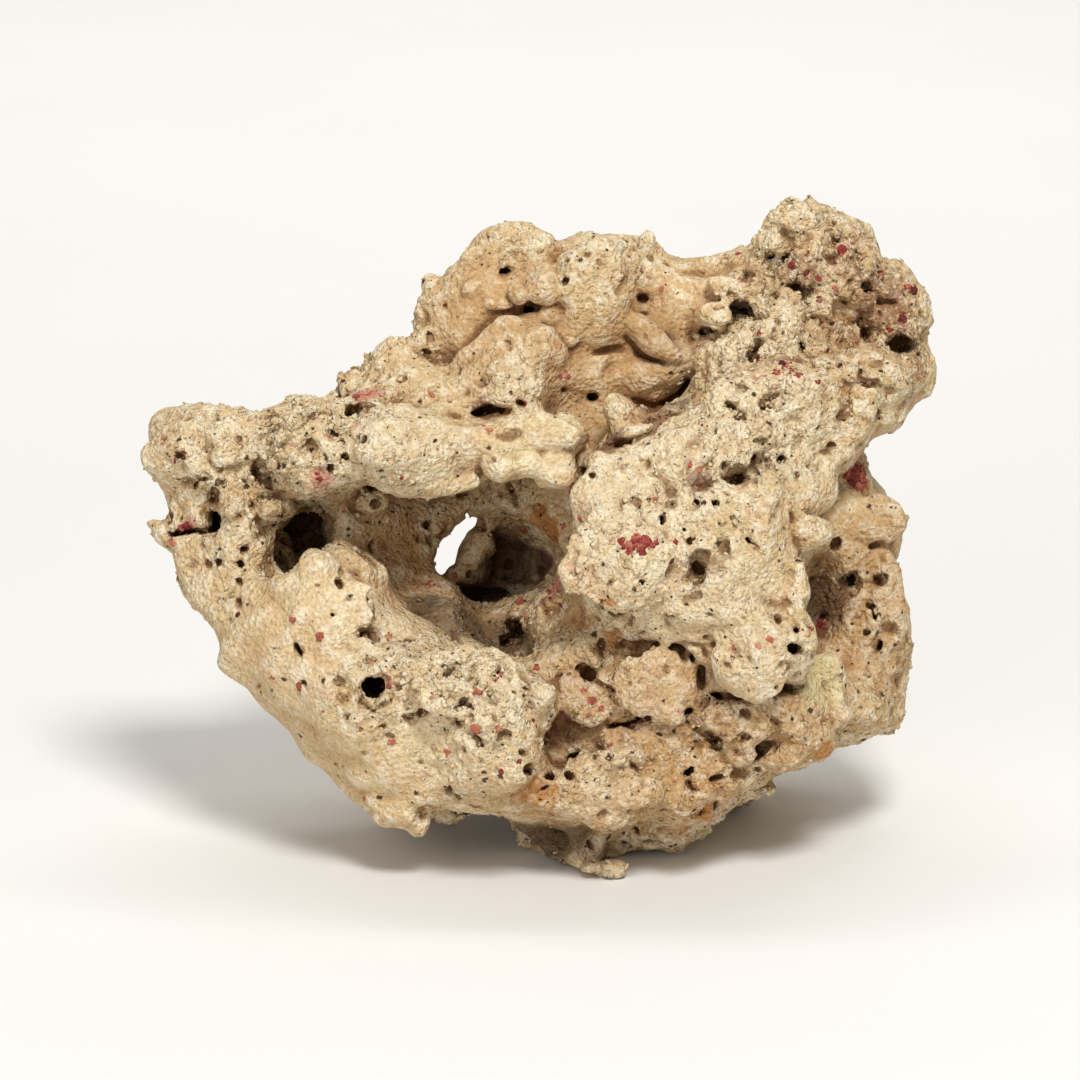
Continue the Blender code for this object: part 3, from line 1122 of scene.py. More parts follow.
    def gnaw(self) -> None:
        """Eats wandering hollows into the skin, down to a small depth."""
        for size, threshold, depth, seed in self.gnaws:
            inside = self.form.noise(size, seed) - threshold + (self.roughness - 1.0) * np.float32(1.1)
            now = self.form.values
            self.form.values = np.maximum(now, np.minimum(inside * np.float32(size * 0.4), now + np.float32(depth)))

    def prune(self) -> None:
        """Takes off the spikes and flaps that are too thin to last."""
        reach = 4 * self.voxel
        around = self.form.blurred(np.clip(self.form.values, -reach, reach), self.thin_passes)
        self.form.values = np.maximum(self.form.values, around - np.float32(self.thinnest))

    def flatten_feet(self) -> None:
        """Ends the rock on the plane that it rests on."""
        height = (np.arange(self.form.values.shape[2]) + self.form.low[2]) * self.voxel
        self.form.values = np.maximum(self.form.values, -height.astype(np.float32)[None, None, :])

    def mesh_object(self) -> bpy.types.Object:
        """The skin's mesh, thinned to its budget, with the values that its finish reads.

        Returns:
            The object.
        """
        points, triangles = self.form.skin()
        points, triangles = largest_piece(points, triangles)
        mesh = mesh_of("rock_skin", points, triangles)
        LOG.info("skin before thinning: %d triangles", len(triangles))
        rock = bpy.data.objects.new("rock_skin", mesh)
        bpy.context.scene.collection.objects.link(rock)
        seen = rock.vertex_groups.new(name="seen")
        facing = self.normals(points) @ -self.axes[2]
        for vertices, weight in self.bands(facing):
            seen.add(vertices, weight, "REPLACE")
        thin = rock.modifiers.new("thin", "DECIMATE")
        thin.ratio = self.triangles / len(triangles)
        thin.vertex_group = seen.name
        thin.invert_vertex_group = True
        thin.vertex_group_factor = self.face_care
        made_plain(rock)
        self.settle(rock.data)
        self.paint(rock.data)
        rock.data.shade_smooth()
        rock.data.normals_split_custom_set_from_vertices(self.normals(points_of(rock.data)).tolist())
        return rock

    def settle(self, mesh: bpy.types.Mesh) -> None:
        """Slides the points along the skin until its triangles are more even.

        Args:
            mesh: the thinned mesh, which is changed.
        """
        points = points_of(mesh)
        edges = np.empty(len(mesh.edges) * 2, np.int32)
        mesh.edges.foreach_get("vertices", edges)
        first, second = edges.reshape(-1, 2).T
        count = np.bincount(edges, minlength=len(points))[:, None]
        for _ in range(self.settle_rounds):
            total = np.zeros_like(points)
            for axis in range(3):
                total[:, axis] = np.bincount(first, points[second, axis], len(points))
                total[:, axis] += np.bincount(second, points[first, axis], len(points))
            way = (total / count - points) * 0.5
            normal = self.normals(points)
            points += way - (way * normal).sum(axis=1)[:, None] * normal
            points -= np.clip(self.form.sample(self.form.values, points), -0.2 * MM, 0.2 * MM)[:, None] * normal
        mesh.vertices.foreach_set("co", points.astype(np.float32).ravel())
        mesh.update()

    def bands(self, facing: np.ndarray) -> list[tuple[list[int], float]]:
        """Sorts points by how much they face the camera, for a thinning that spares the face.

        Args:
            facing: for each point, 1 where it faces the camera and -1 where it faces away.

        Returns:
            Lists of point indices with their weights.
        """
        level = np.clip((facing + 0.5) / 0.8, 0.0, 1.0)
        step = np.round(level * 4).astype(int)
        return [(np.nonzero(step == i)[0].tolist(), i / 4 * self.most_spared) for i in range(5)]

    def paint(self, mesh: bpy.types.Mesh) -> None:
        """Stores what the finish reads: how far each point stands out, and the patches' strengths.

        Args:
            mesh: the skin's mesh.
        """
        points = points_of(mesh)
        clipped = np.clip(self.form.values, -4 * self.voxel, 4 * self.voxel)
        fine = self.form.sample(self.form.blurred(clipped, 4), points) / (1.0 * MM)
        keep = self.form.values
        self.form.values = np.clip(keep, -8 * self.voxel, 8 * self.voxel)
        rough = self.form.coarse(3)
        mid = self.form.sample(self.form.blurred(rough, 3), points, 3) / (2.5 * MM)
        broad = self.form.sample(self.form.blurred(rough, 24), points, 3) / (5.0 * MM)
        self.form.values = keep
        put_attribute(mesh, "relief", np.stack([fine, mid, broad], axis=1) * 0.5 + 0.5)
        rough = self.form.sample(self.roughness, points)
        mesh.attributes.new("rough", "FLOAT", "POINT").data.foreach_set("value", rough.astype(np.float32))
        faces_front = np.clip((self.normals(points) @ -self.axes[2] + 0.5) / 0.4, 0.0, 1.0)
        masks = {growth: self.mask(points, self.regions[growth]) * faces_front for growth in Growth}
        put_attribute(mesh, "growth", np.stack([masks[g] for g in (Growth.CRIMSON, Growth.ROSE, Growth.OCHRE)], 1))
        put_attribute(mesh, "ground", np.stack([masks[g] for g in (Growth.LICHEN, Growth.SMOOTH, Growth.PALE)], 1))
        # The third attribute holds tan, the painted shade, and brown stain with painted shade.
        put_attribute(mesh, "tint_and_shade", np.stack([masks[g] for g in (Growth.TAN, Growth.DARK, Growth.BROWN_STAIN_AND_SHADE)], 1))

    def mask(self, points: np.ndarray, region: list[tuple[np.ndarray, float, float]]) -> np.ndarray:
        """How strongly a region covers each point, from 0 to 1."""
        total = np.zeros(len(points))
        for centre, radius, strength in region:
            away = np.linalg.norm(points - centre, axis=1) / radius
            total = np.maximum(total, strength * np.clip(1.5 - away, 0.0, 1.0))
        return total


def largest_piece(points: np.ndarray, triangles: np.ndarray) -> tuple[np.ndarray, np.ndarray]:
    """Keeps the largest connected piece of a mesh.

    Args:
        points: the points.
        triangles: the triangles between them.

    Returns:
        The points that stay, and the triangles with their new indices.
    """
    label = np.arange(len(points))
    while True:
        lowest = label[triangles].min(axis=1)
        spread = label.copy()
        for corner in range(3):
            np.minimum.at(spread, triangles[:, corner], lowest)
        spread = spread[spread]
        if (spread == label).all():
            break
        label = spread
    names, counts = np.unique(label, return_counts=True)
    kept = label == names[counts.argmax()]
    index = np.cumsum(kept) - 1
    return points[kept], index[triangles[kept[triangles[:, 0]]]]


def mesh_of(name: str, points: np.ndarray, triangles: np.ndarray) -> bpy.types.Mesh:
    """A mesh from points and triangles."""
    mesh = bpy.data.meshes.new(name)
    mesh.vertices.add(len(points))
    mesh.vertices.foreach_set("co", points.astype(np.float32).ravel())
    mesh.loops.add(len(triangles) * 3)
    mesh.loops.foreach_set("vertex_index", triangles.astype(np.int32).ravel())
    mesh.polygons.add(len(triangles))
    mesh.polygons.foreach_set("loop_start", np.arange(0, len(triangles) * 3, 3, dtype=np.int32))
    mesh.update(calc_edges=True)
    mesh.validate()
    return mesh


def made_plain(obj: bpy.types.Object) -> None:
    """Turns an object's modifiers into its mesh."""
    graph = bpy.context.evaluated_depsgraph_get()
    shaped = bpy.data.meshes.new_from_object(obj.evaluated_get(graph))
    obj.modifiers.clear()
    before = obj.data
    obj.data = shaped
    bpy.data.meshes.remove(before)


def put_attribute(mesh: bpy.types.Mesh, name: str, colours: np.ndarray) -> None:
    """Stores three values a point as a colour attribute."""
    attribute = mesh.attributes.new(name, "FLOAT_COLOR", "POINT")
    rows = np.ones((len(colours), 4), np.float32)
    rows[:, :3] = np.clip(colours, 0.0, 1.0)
    attribute.data.foreach_set("color", rows.ravel())


def points_of(mesh: bpy.types.Mesh) -> np.ndarray:
    """A mesh's points as rows."""
    points = np.empty(len(mesh.vertices) * 3)
    mesh.vertices.foreach_get("co", points)
    return points.reshape(-1, 3)


class Wiring:
    """Adds and joins the nodes of one tree."""

    def __init__(self, tree: bpy.types.NodeTree) -> None:
        """Starts on an empty tree."""
        self.tree = tree
        tree.nodes.clear()

    def add(self, kind: str, inputs: dict | None = None, **settings: object) -> bpy.types.Node:
        """Adds a node.

        Args:
            kind: the node's type.
            inputs: for input names or numbers, a value or the socket that feeds them.
            settings: the node's own settings.

        Returns:
            The node.
        """
        node = self.tree.nodes.new(kind)
        for name, value in settings.items():
            setattr(node, name, value)
        for name, value in (inputs or {}).items():
            if isinstance(value, bpy.types.NodeSocket):
                self.tree.links.new(value, node.inputs[name])
            else:
                node.inputs[name].default_value = value
        return node

    def math(self, operation: str, a: object, b: object = 0.0, c: object = 0.0) -> bpy.types.NodeSocket:
        """One step of arithmetic."""
        return self.add("ShaderNodeMath", {0: a, 1: b, 2: c}, operation=operation).outputs[0]

    def span(self, value: object, low: float, high: float, to_low: float = 0.0, to_high: float = 1.0):
        """A value eased between two others and set on a new range."""
        inputs = {"Value": value, "From Min": low, "From Max": high, "To Min": to_low, "To Max": to_high}
        return self.add("ShaderNodeMapRange", inputs, interpolation_type="SMOOTHSTEP").outputs[0]

    def mix(self, factor: object, a: object, b: object, blend: str = "MIX") -> bpy.types.NodeSocket:
        """Two colours mixed."""
        return self.add("ShaderNodeMix", {0: factor, 6: a, 7: b}, data_type="RGBA", blend_type=blend).outputs[2]

    def noise(self, vector: object, size: object, detail: float = 2.0, rough: float = 0.5) -> bpy.types.Node:
        """Cloudy noise whose largest patches have about a size in metres."""
        if isinstance(size, float):
            scale = 1.0 / size
        else:
            scale = self.math("DIVIDE", 1.0, size)
        inputs = {"Vector": vector, "Scale": scale, "Detail": detail, "Roughness": rough}
        return self.add("ShaderNodeTexNoise", inputs)

    def split(self, colour: object) -> tuple[bpy.types.NodeSocket, ...]:
        """A colour's three parts."""
        return tuple(self.add("ShaderNodeSeparateColor", {0: colour}).outputs)

    def part(self, group: bpy.types.NodeTree, inputs: dict) -> bpy.types.Node:
        """Places a shader node group."""
        node = self.tree.nodes.new("ShaderNodeGroup")
        node.node_tree = group
        for name, value in inputs.items():
            if isinstance(value, bpy.types.NodeSocket):
                self.tree.links.new(value, node.inputs[name])
            else:
                node.inputs[name].default_value = value
        return node


Colour = tuple[float, float, float, float]
Place = tuple[float, float, float]


def shade(red: int, green: int, blue: int) -> Colour:
    """A colour written as a screen shows it, in linear values."""
    linear = [((c / 255 + 0.055) / 1.055) ** 2.4 if c > 10 else c / 255 / 12.92 for c in (red, green, blue)]
    return (*linear, 1.0)


class StoneGroups:
    """The shader groups that the rock's finishes share."""

    def __init__(self) -> None:
        """Builds each group once."""
        self.pores = self.make_pores()
        self.grain = self.make_grain()
        self.blotch = self.make_blotch()

    def new_group(self, name: str, inputs: dict[str, str], outputs: dict[str, str]) -> bpy.types.NodeTree:
        """An empty group with its sockets.

        Args:
            name: its name.
            inputs: the names of its inputs, with their socket kinds.
            outputs: the same for its outputs.

        Returns:
            The group's tree.
        """
        group = bpy.data.node_groups.new(name, "ShaderNodeTree")
        for socket, kind in inputs.items():
            group.interface.new_socket(socket, in_out="INPUT", socket_type=kind)
        for socket, kind in outputs.items():
            group.interface.new_socket(socket, in_out="OUTPUT", socket_type=kind)
        return group

    def make_pores(self) -> bpy.types.NodeTree:
        """Round and ragged holes, of which Share says how many cells hold one."""
        inputs = {"Vector": "NodeSocketVector", "Ragged": "NodeSocketVector"}
        inputs |= {"Size": "NodeSocketFloat", "Share": "NodeSocketFloat"}
        group = self.new_group("stone pores", inputs, {"Pore": "NodeSocketFloat"})
        wiring = Wiring(group)
        given = wiring.add("NodeGroupInput").outputs
        shift = wiring.add("ShaderNodeVectorMath", {0: given["Ragged"], 1: (0.5, 0.5, 0.5)}, operation="SUBTRACT")
        reach = wiring.math("MULTIPLY", given["Size"], 0.55)
        sway = wiring.add("ShaderNodeVectorMath", {0: shift.outputs[0], "Scale": reach}, operation="SCALE")
        where = wiring.add("ShaderNodeVectorMath", {0: given["Vector"], 1: sway.outputs[0]}, operation="ADD")
        scale = wiring.math("DIVIDE", 1.0, given["Size"])
        cells = wiring.add("ShaderNodeTexVoronoi", {"Vector": where.outputs[0], "Scale": scale})
        red, green, _ = wiring.split(cells.outputs["Color"])
        radius = wiring.math("MULTIPLY_ADD", wiring.math("POWER", red, 2.0), 0.2, 0.08)
        near = wiring.math("DIVIDE", cells.outputs["Distance"], radius)
        hole = wiring.span(near, 1.25, 0.35)
        held = wiring.math("LESS_THAN", green, given["Share"])
        pore = wiring.math("MULTIPLY", hole, held)
        wiring.add("NodeGroupOutput", {"Pore": pore})
        return group

    def make_grain(self) -> bpy.types.NodeTree:
        """Crumbly relief, in millimetres, and a tone that goes with it."""
        inputs = {"Vector": "NodeSocketVector", "Size": "NodeSocketFloat"}
        group = self.new_group("stone grain", inputs, {"Height": "NodeSocketFloat", "Tone": "NodeSocketFloat"})
        wiring = Wiring(group)
        given = wiring.add("NodeGroupInput").outputs
        cloud = wiring.noise(given["Vector"], given["Size"], 3.0, 0.62).outputs[0]
        scale = wiring.math("DIVIDE", 1.0, wiring.math("MULTIPLY", given["Size"], 0.5))
        crumbs = wiring.add("ShaderNodeTexVoronoi", {"Vector": given["Vector"], "Scale": scale})
        lumps = wiring.math("SUBTRACT", 0.5, crumbs.outputs["Distance"])
        height = wiring.math("MULTIPLY_ADD", lumps, 0.45, cloud)
        wiring.add("NodeGroupOutput", {"Height": height, "Tone": cloud})
        return group

    def make_blotch(self) -> bpy.types.NodeTree:
        """A mask with ragged, speckled edges from a soft one."""
        inputs = {"Vector": "NodeSocketVector", "Size": "NodeSocketFloat", "Mask": "NodeSocketFloat"}
        group = self.new_group("stone blotch", inputs, {"Mask": "NodeSocketFloat"})
        wiring = Wiring(group)
        given = wiring.add("NodeGroupInput").outputs
        cloud = wiring.noise(given["Vector"], given["Size"], 4.0, 0.65).outputs[0]
        sum_ = wiring.math("ADD", wiring.math("MULTIPLY", given["Mask"], 0.62), cloud)
        wiring.add("NodeGroupOutput", {"Mask": wiring.span(sum_, 0.72, 0.92)})
        return group


def new_material(name: str) -> tuple[bpy.types.Material, Wiring]:
    """A material with an empty tree, and the means to fill it."""
    material = bpy.data.materials.new(name)
    material.use_nodes = True
    return material, Wiring(material.node_tree)


@dataclass(frozen=True)
class LimestoneFinish:
    """Weathered coral limestone: cream and tan stone with faint stains, a painted highlight on its crests and painted
    shade in its hollows, pores and cave.
    """

    cream: Colour = shade(219, 190, 143)
    # Painted highlight on crests.
    painted_highlight: Colour = shade(238, 221, 188)
    pale: Colour = shade(232, 210, 171)
    tan: Colour = shade(194, 153, 105)
    # The stone's brown, also painted shade in hollows and at the edge of pores.
    brown: Colour = shade(126, 88, 54)
    # Painted shade deep inside pores.
    deep: Colour = shade(52, 36, 22)
    # Painted shade in the cave and other shaded places.
    painted_shade_brown: Colour = shade(78, 54, 34)
    blush: Colour = shade(214, 172, 144)
    straw: Colour = shade(206, 188, 138)
    rose: Colour = shade(190, 120, 98)
    crimson: Colour = shade(146, 56, 46)
    ochre: Colour = shade(184, 122, 58)
    lichen: Colour = shade(222, 208, 158)
    # Brown stain, also painted shade in dents and crevices.
    brown_stain_and_shade: Colour = shade(130, 84, 58)
    roughness: float = 0.93

    def build(self, groups: StoneGroups) -> bpy.types.Material:
        """Wires the material.

        Args:
            groups: the shared shader groups.

        Returns:
            The material.
        """
        material, wiring = new_material("coral limestone")
        at = wiring.add("ShaderNodeTexCoord").outputs["Object"]
        fine, mid, broad = wiring.split(wiring.add("ShaderNodeAttribute", attribute_name="relief").outputs["Color"])
        masks = wiring.split(wiring.add("ShaderNodeAttribute", attribute_name="growth").outputs["Color"])
        lichen, smooth, pale = wiring.split(wiring.add("ShaderNodeAttribute", attribute_name="ground").outputs["Color"])
        crumbly = wiring.add("ShaderNodeAttribute", attribute_name="rough").outputs["Fac"]
        cluster = wiring.noise(at, 14.0 * MM, 2.0, 0.6).outputs[0]
        share = wiring.math("MULTIPLY_ADD", wiring.span(cluster, 0.42, 0.68), 0.35, 0.1)
        share = wiring.math("MULTIPLY_ADD", wiring.span(crumbly, 0.8, 1.4), 0.4, share)
        share = wiring.math("MULTIPLY_ADD", smooth, -0.25, share)
        ragged = wiring.noise(at, 1.3 * MM, 2.0, 0.6).outputs[1]
        large, middle, small = (
            wiring.part(groups.pores, {"Vector": at, "Ragged": ragged, "Size": size, "Share": share}).outputs[0]
            for size in (4.6 * MM, 2.6 * MM, 1.4 * MM)
        )
        pores = wiring.math("MAXIMUM", large, wiring.math("MAXIMUM", middle, wiring.math("MULTIPLY", small, 0.6)))
        grain = wiring.part(groups.grain, {"Vector": at, "Size": 3.6 * MM})
        grit = wiring.part(groups.grain, {"Vector": at, "Size": 1.3 * MM})

        colour = self.ground(wiring, at, fine, mid, broad, pale)
        tone = wiring.span(grit.outputs["Tone"], 0.3, 0.7, 0.8, 1.08)
        colour = wiring.mix(1.0, colour, tone, "MULTIPLY")
        colour = self.stained(wiring, groups, at, colour, (*masks, lichen))
        # Painted shade inside the pores: brown at their edge, near black at their middle.
        pore_shade = wiring.mix(wiring.span(pores, 0.35, 0.9), self.brown, self.deep)
        colour = wiring.mix(wiring.span(pores, 0.0, 0.6, 0.0, 0.92), colour, pore_shade)

        rough = wiring.math("MULTIPLY_ADD", smooth, -1.4, 2.6)
        height = wiring.math("MULTIPLY_ADD", grit.outputs["Height"], 0.25, grain.outputs["Height"])
        height = wiring.math("MULTIPLY", height, rough)
        height = wiring.math("MULTIPLY_ADD", large, -1.5, height)
        height = wiring.math("MULTIPLY_ADD", middle, -0.9, height)
        height = wiring.math("MULTIPLY_ADD", small, -0.45, height)
        bump = wiring.add("ShaderNodeBump", {"Height": height, "Distance": 1.0 * MM, "Strength": 1.0})
        inputs = {"Base Color": colour, "Normal": bump.outputs[0], "Roughness": self.roughness}
        surface = wiring.add("ShaderNodeBsdfPrincipled", inputs)
        surface.inputs["Specular IOR Level"].default_value = 0.25
        wiring.add("ShaderNodeOutputMaterial", {"Surface": surface.outputs[0]})
        return material

    def ground(
        self, wiring: Wiring, at: object, fine: object, mid: object, broad: object, pale: object
    ) -> bpy.types.NodeSocket:
        """The stone's colour by patches, then a painted highlight where it stands out, and painted shade in its hollows
        and under the shade patches.

        Args:
            wiring: the material's wiring.
            at: the place on the rock.
            fine: how far the skin stands out from what is near, 0.5 for flat.
            mid: the same over a few millimetres.
            broad: the same over a centimetre or two.
            pale: the soft mask of the parts that are bleached.

        Returns:
            The colour.
        """
        # dark is the mask of the painted shade patches.
        tan, dark, _ = self.tint_and_shade_masks(wiring)
        patch = wiring.noise(at, 26.0 * MM, 4.0, 0.65).outputs[0]
        colour = wiring.mix(wiring.span(patch, 0.35, 0.62), self.tan, self.cream)
        # Painted light: mid-scale bulges turn lighter cream.
        colour = wiring.mix(wiring.span(mid, 0.45, 0.62, 0.0, 0.8), colour, self.cream)
        blush = wiring.noise(at, 11.0 * MM, 4.0, 0.7).outputs[0]
        colour = wiring.mix(wiring.span(blush, 0.52, 0.68, 0.0, 0.45), colour, self.blush)
        colour = wiring.mix(wiring.span(blush, 0.46, 0.3, 0.0, 0.3), colour, self.straw)
        edge = wiring.math("MULTIPLY_ADD", patch, 1.2, wiring.math("SUBTRACT", tan, 1.0))
        colour = wiring.mix(wiring.span(edge, -0.3, 0.5, 0.0, 0.85), colour, self.tan)
        speck = wiring.noise(at, 5.0 * MM, 3.0, 0.7).outputs[0]
        bleached = wiring.math("MULTIPLY", wiring.span(pale, 0.1, 0.9), wiring.span(speck, 0.32, 0.56, 0.35, 0.85))
        colour = wiring.mix(bleached, colour, self.pale)
        # Painted highlight: fine crests turn bright, less on tan stone.
        crest = wiring.math("MULTIPLY", wiring.span(fine, 0.46, 0.62), wiring.span(speck, 0.4, 0.62))
        crest = wiring.math("MULTIPLY", crest, wiring.math("MULTIPLY_ADD", tan, -0.45, 1.0))
        colour = wiring.mix(crest, colour, self.painted_highlight)
        # Painted shade, with the brown that the hollows have: fine, mid-scale and broad hollows turn brown.
        hollow = wiring.math("ADD", wiring.span(fine, 0.48, 0.3, 0.0, 0.6), wiring.span(mid, 0.5, 0.22, 0.0, 0.6))
        colour = wiring.mix(hollow, colour, self.brown)
        colour = wiring.mix(wiring.span(broad, 0.42, 0.12, 0.0, 0.7), colour, self.brown)
        # Painted shade: dark brown under the shade patches.
        return wiring.mix(wiring.span(dark, 0.15, 0.9, 0.0, 0.85), colour, self.painted_shade_brown)

    def tint_and_shade_masks(self, wiring: Wiring) -> tuple[bpy.types.NodeSocket, ...]:
        """The soft masks of tan, of painted shade, and of brown stain with painted shade."""
        return wiring.split(wiring.add("ShaderNodeAttribute", attribute_name="tint_and_shade").outputs["Color"])

    def stained(self, wiring: Wiring, groups: StoneGroups, at: object, colour: object, masks: tuple) -> object:
        """Lays the stains over the stone's colour; the brown one is also painted shade in dents and crevices.

        Args:
            wiring: the material's wiring.
            groups: the shared shader groups.
            at: the place on the rock.
            colour: the stone's colour.
            masks: the soft masks of crimson, rose, ochre and lichen.

        Returns:
            The colour.
        """
        stains = (
            # Brown stain, and painted shade in dents and crevices.
            (self.tint_and_shade_masks(wiring)[2], self.brown_stain_and_shade, 2.4 * MM, 0.68),
            (masks[3], self.lichen, 4.0 * MM, 0.6),
            (masks[1], self.rose, 5.0 * MM, 0.7),
            (masks[2], self.ochre, 6.0 * MM, 0.8),
            (masks[0], self.crimson, 4.0 * MM, 0.9),
        )
        for mask, stain, size, strength in stains:
            spot = wiring.part(groups.blotch, {"Vector": at, "Size": size, "Mask": mask}).outputs[0]
            colour = wiring.mix(wiring.math("MULTIPLY", spot, strength), colour, stain)
        return colour


@dataclass(frozen=True)
class CrustFinish:
    """A living crust that dried: one colour, broken by paler and darker grain."""

    name: str
    colour: Colour
    dark: Colour
    pale: Colour
    roughness: float = 0.9

    def build(self, groups: StoneGroups) -> bpy.types.Material:
        """Wires the material.

        Args:
            groups: the shared shader groups.

        Returns:
            The material.
        """
        material, wiring = new_material(self.name)
        at = wiring.add("ShaderNodeTexCoord").outputs["Object"]
        grain = wiring.part(groups.grain, {"Vector": at, "Size": 1.6 * MM})
        tone = wiring.add("ShaderNodeAttribute", attribute_name="tone").outputs["Fac"]
        worn = wiring.math("MULTIPLY_ADD", tone, 0.5, grain.outputs["Tone"])
        colour = wiring.mix(wiring.span(worn, 0.5, 0.7), self.dark, self.colour)
        colour = wiring.mix(wiring.span(worn, 0.75, 1.0), colour, self.pale)
        bump = wiring.add("ShaderNodeBump", {"Height": grain.outputs["Height"], "Distance": 0.8 * MM})
        inputs = {"Base Color": colour, "Normal": bump.outputs[0], "Roughness": self.roughness}
        surface = wiring.add("ShaderNodeBsdfPrincipled", inputs)
        wiring.add("ShaderNodeOutputMaterial", {"Surface": surface.outputs[0]})
        return material


# Crimson crusts that the face shows: across, down and radius in pixels.
CRIMSON_SPOTS = """
    622 541 4 ; 628 545 5 ; 634 541 5 ; 640 546 5 ; 646 541 5 ; 652 545 4 ; 630 550 4 ; 643 552 4 ; 637 537 4
    656 543 3 ; 675 541 3 ; 672 561 3 ; 657 490 2 ; 782 363 4 ; 778 373 4 ; 799 374 4 ; 819 382 3 ; 759 333 2
    792 264 4 ; 806 272 3 ; 819 278 3 ; 842 250 5 ; 852 244 3 ; 903 318 5 ; 914 291 5 ; 835 288 3 ; 785 368 3
    847 474 5 ; 855 470 6 ; 862 476 5 ; 852 482 5 ; 859 486 4 ; 820 624 5 ; 510 413 3 ; 187 526 5 ; 181 528 4
    580 519 3 ; 564 526 3 ; 320 479 3 ; 317 474 2 ; 185 452 2 ; 498 674 4 ; 496 680 3 ; 519 761 3 ; 537 668 4
    533 720 2 ; 529 724 2 ; 908 286 4 ; 862 260 3 ; 880 275 4 ; 890 330 3 ; 820 300 3 ; 800 330 2 ; 760 360 2
    740 350 2 ; 435 441 2 ; 438 449 2 ; 402 478 2 ; 808 252 2 ; 870 290 3 ; 788 366 4 ; 792 372 3
"""

# Paler, rounder spots, written in the same way.
CORAL_SPOTS = """
    319 637 5 ; 392 742 4 ; 500 729 4 ; 475 729 5 ; 361 728 3 ; 390 681 6 ; 389 637 4 ; 292 620 4 ; 272 678 3
    299 687 4 ; 478 692 4 ; 433 697 3 ; 373 663 3 ; 448 752 4 ; 565 375 4 ; 560 376 3 ; 560 347 3 ; 172 543 4
    165 438 3 ; 330 437 2 ; 585 690 4 ; 592 700 4 ; 601 708 3 ; 640 640 3 ; 770 640 4 ; 758 646 3 ; 733 648 3
    700 470 3 ; 727 478 3 ; 690 465 3 ; 805 540 2 ; 790 505 3 ; 655 500 3 ; 610 745 3 ; 455 575 3 ; 430 584 4
    415 590 3 ; 520 602 4 ; 526 616 3 ; 548 590 3 ; 490 430 4 ; 484 426 3 ; 365 393 6 ; 356 396 5 ; 374 392 4
"""


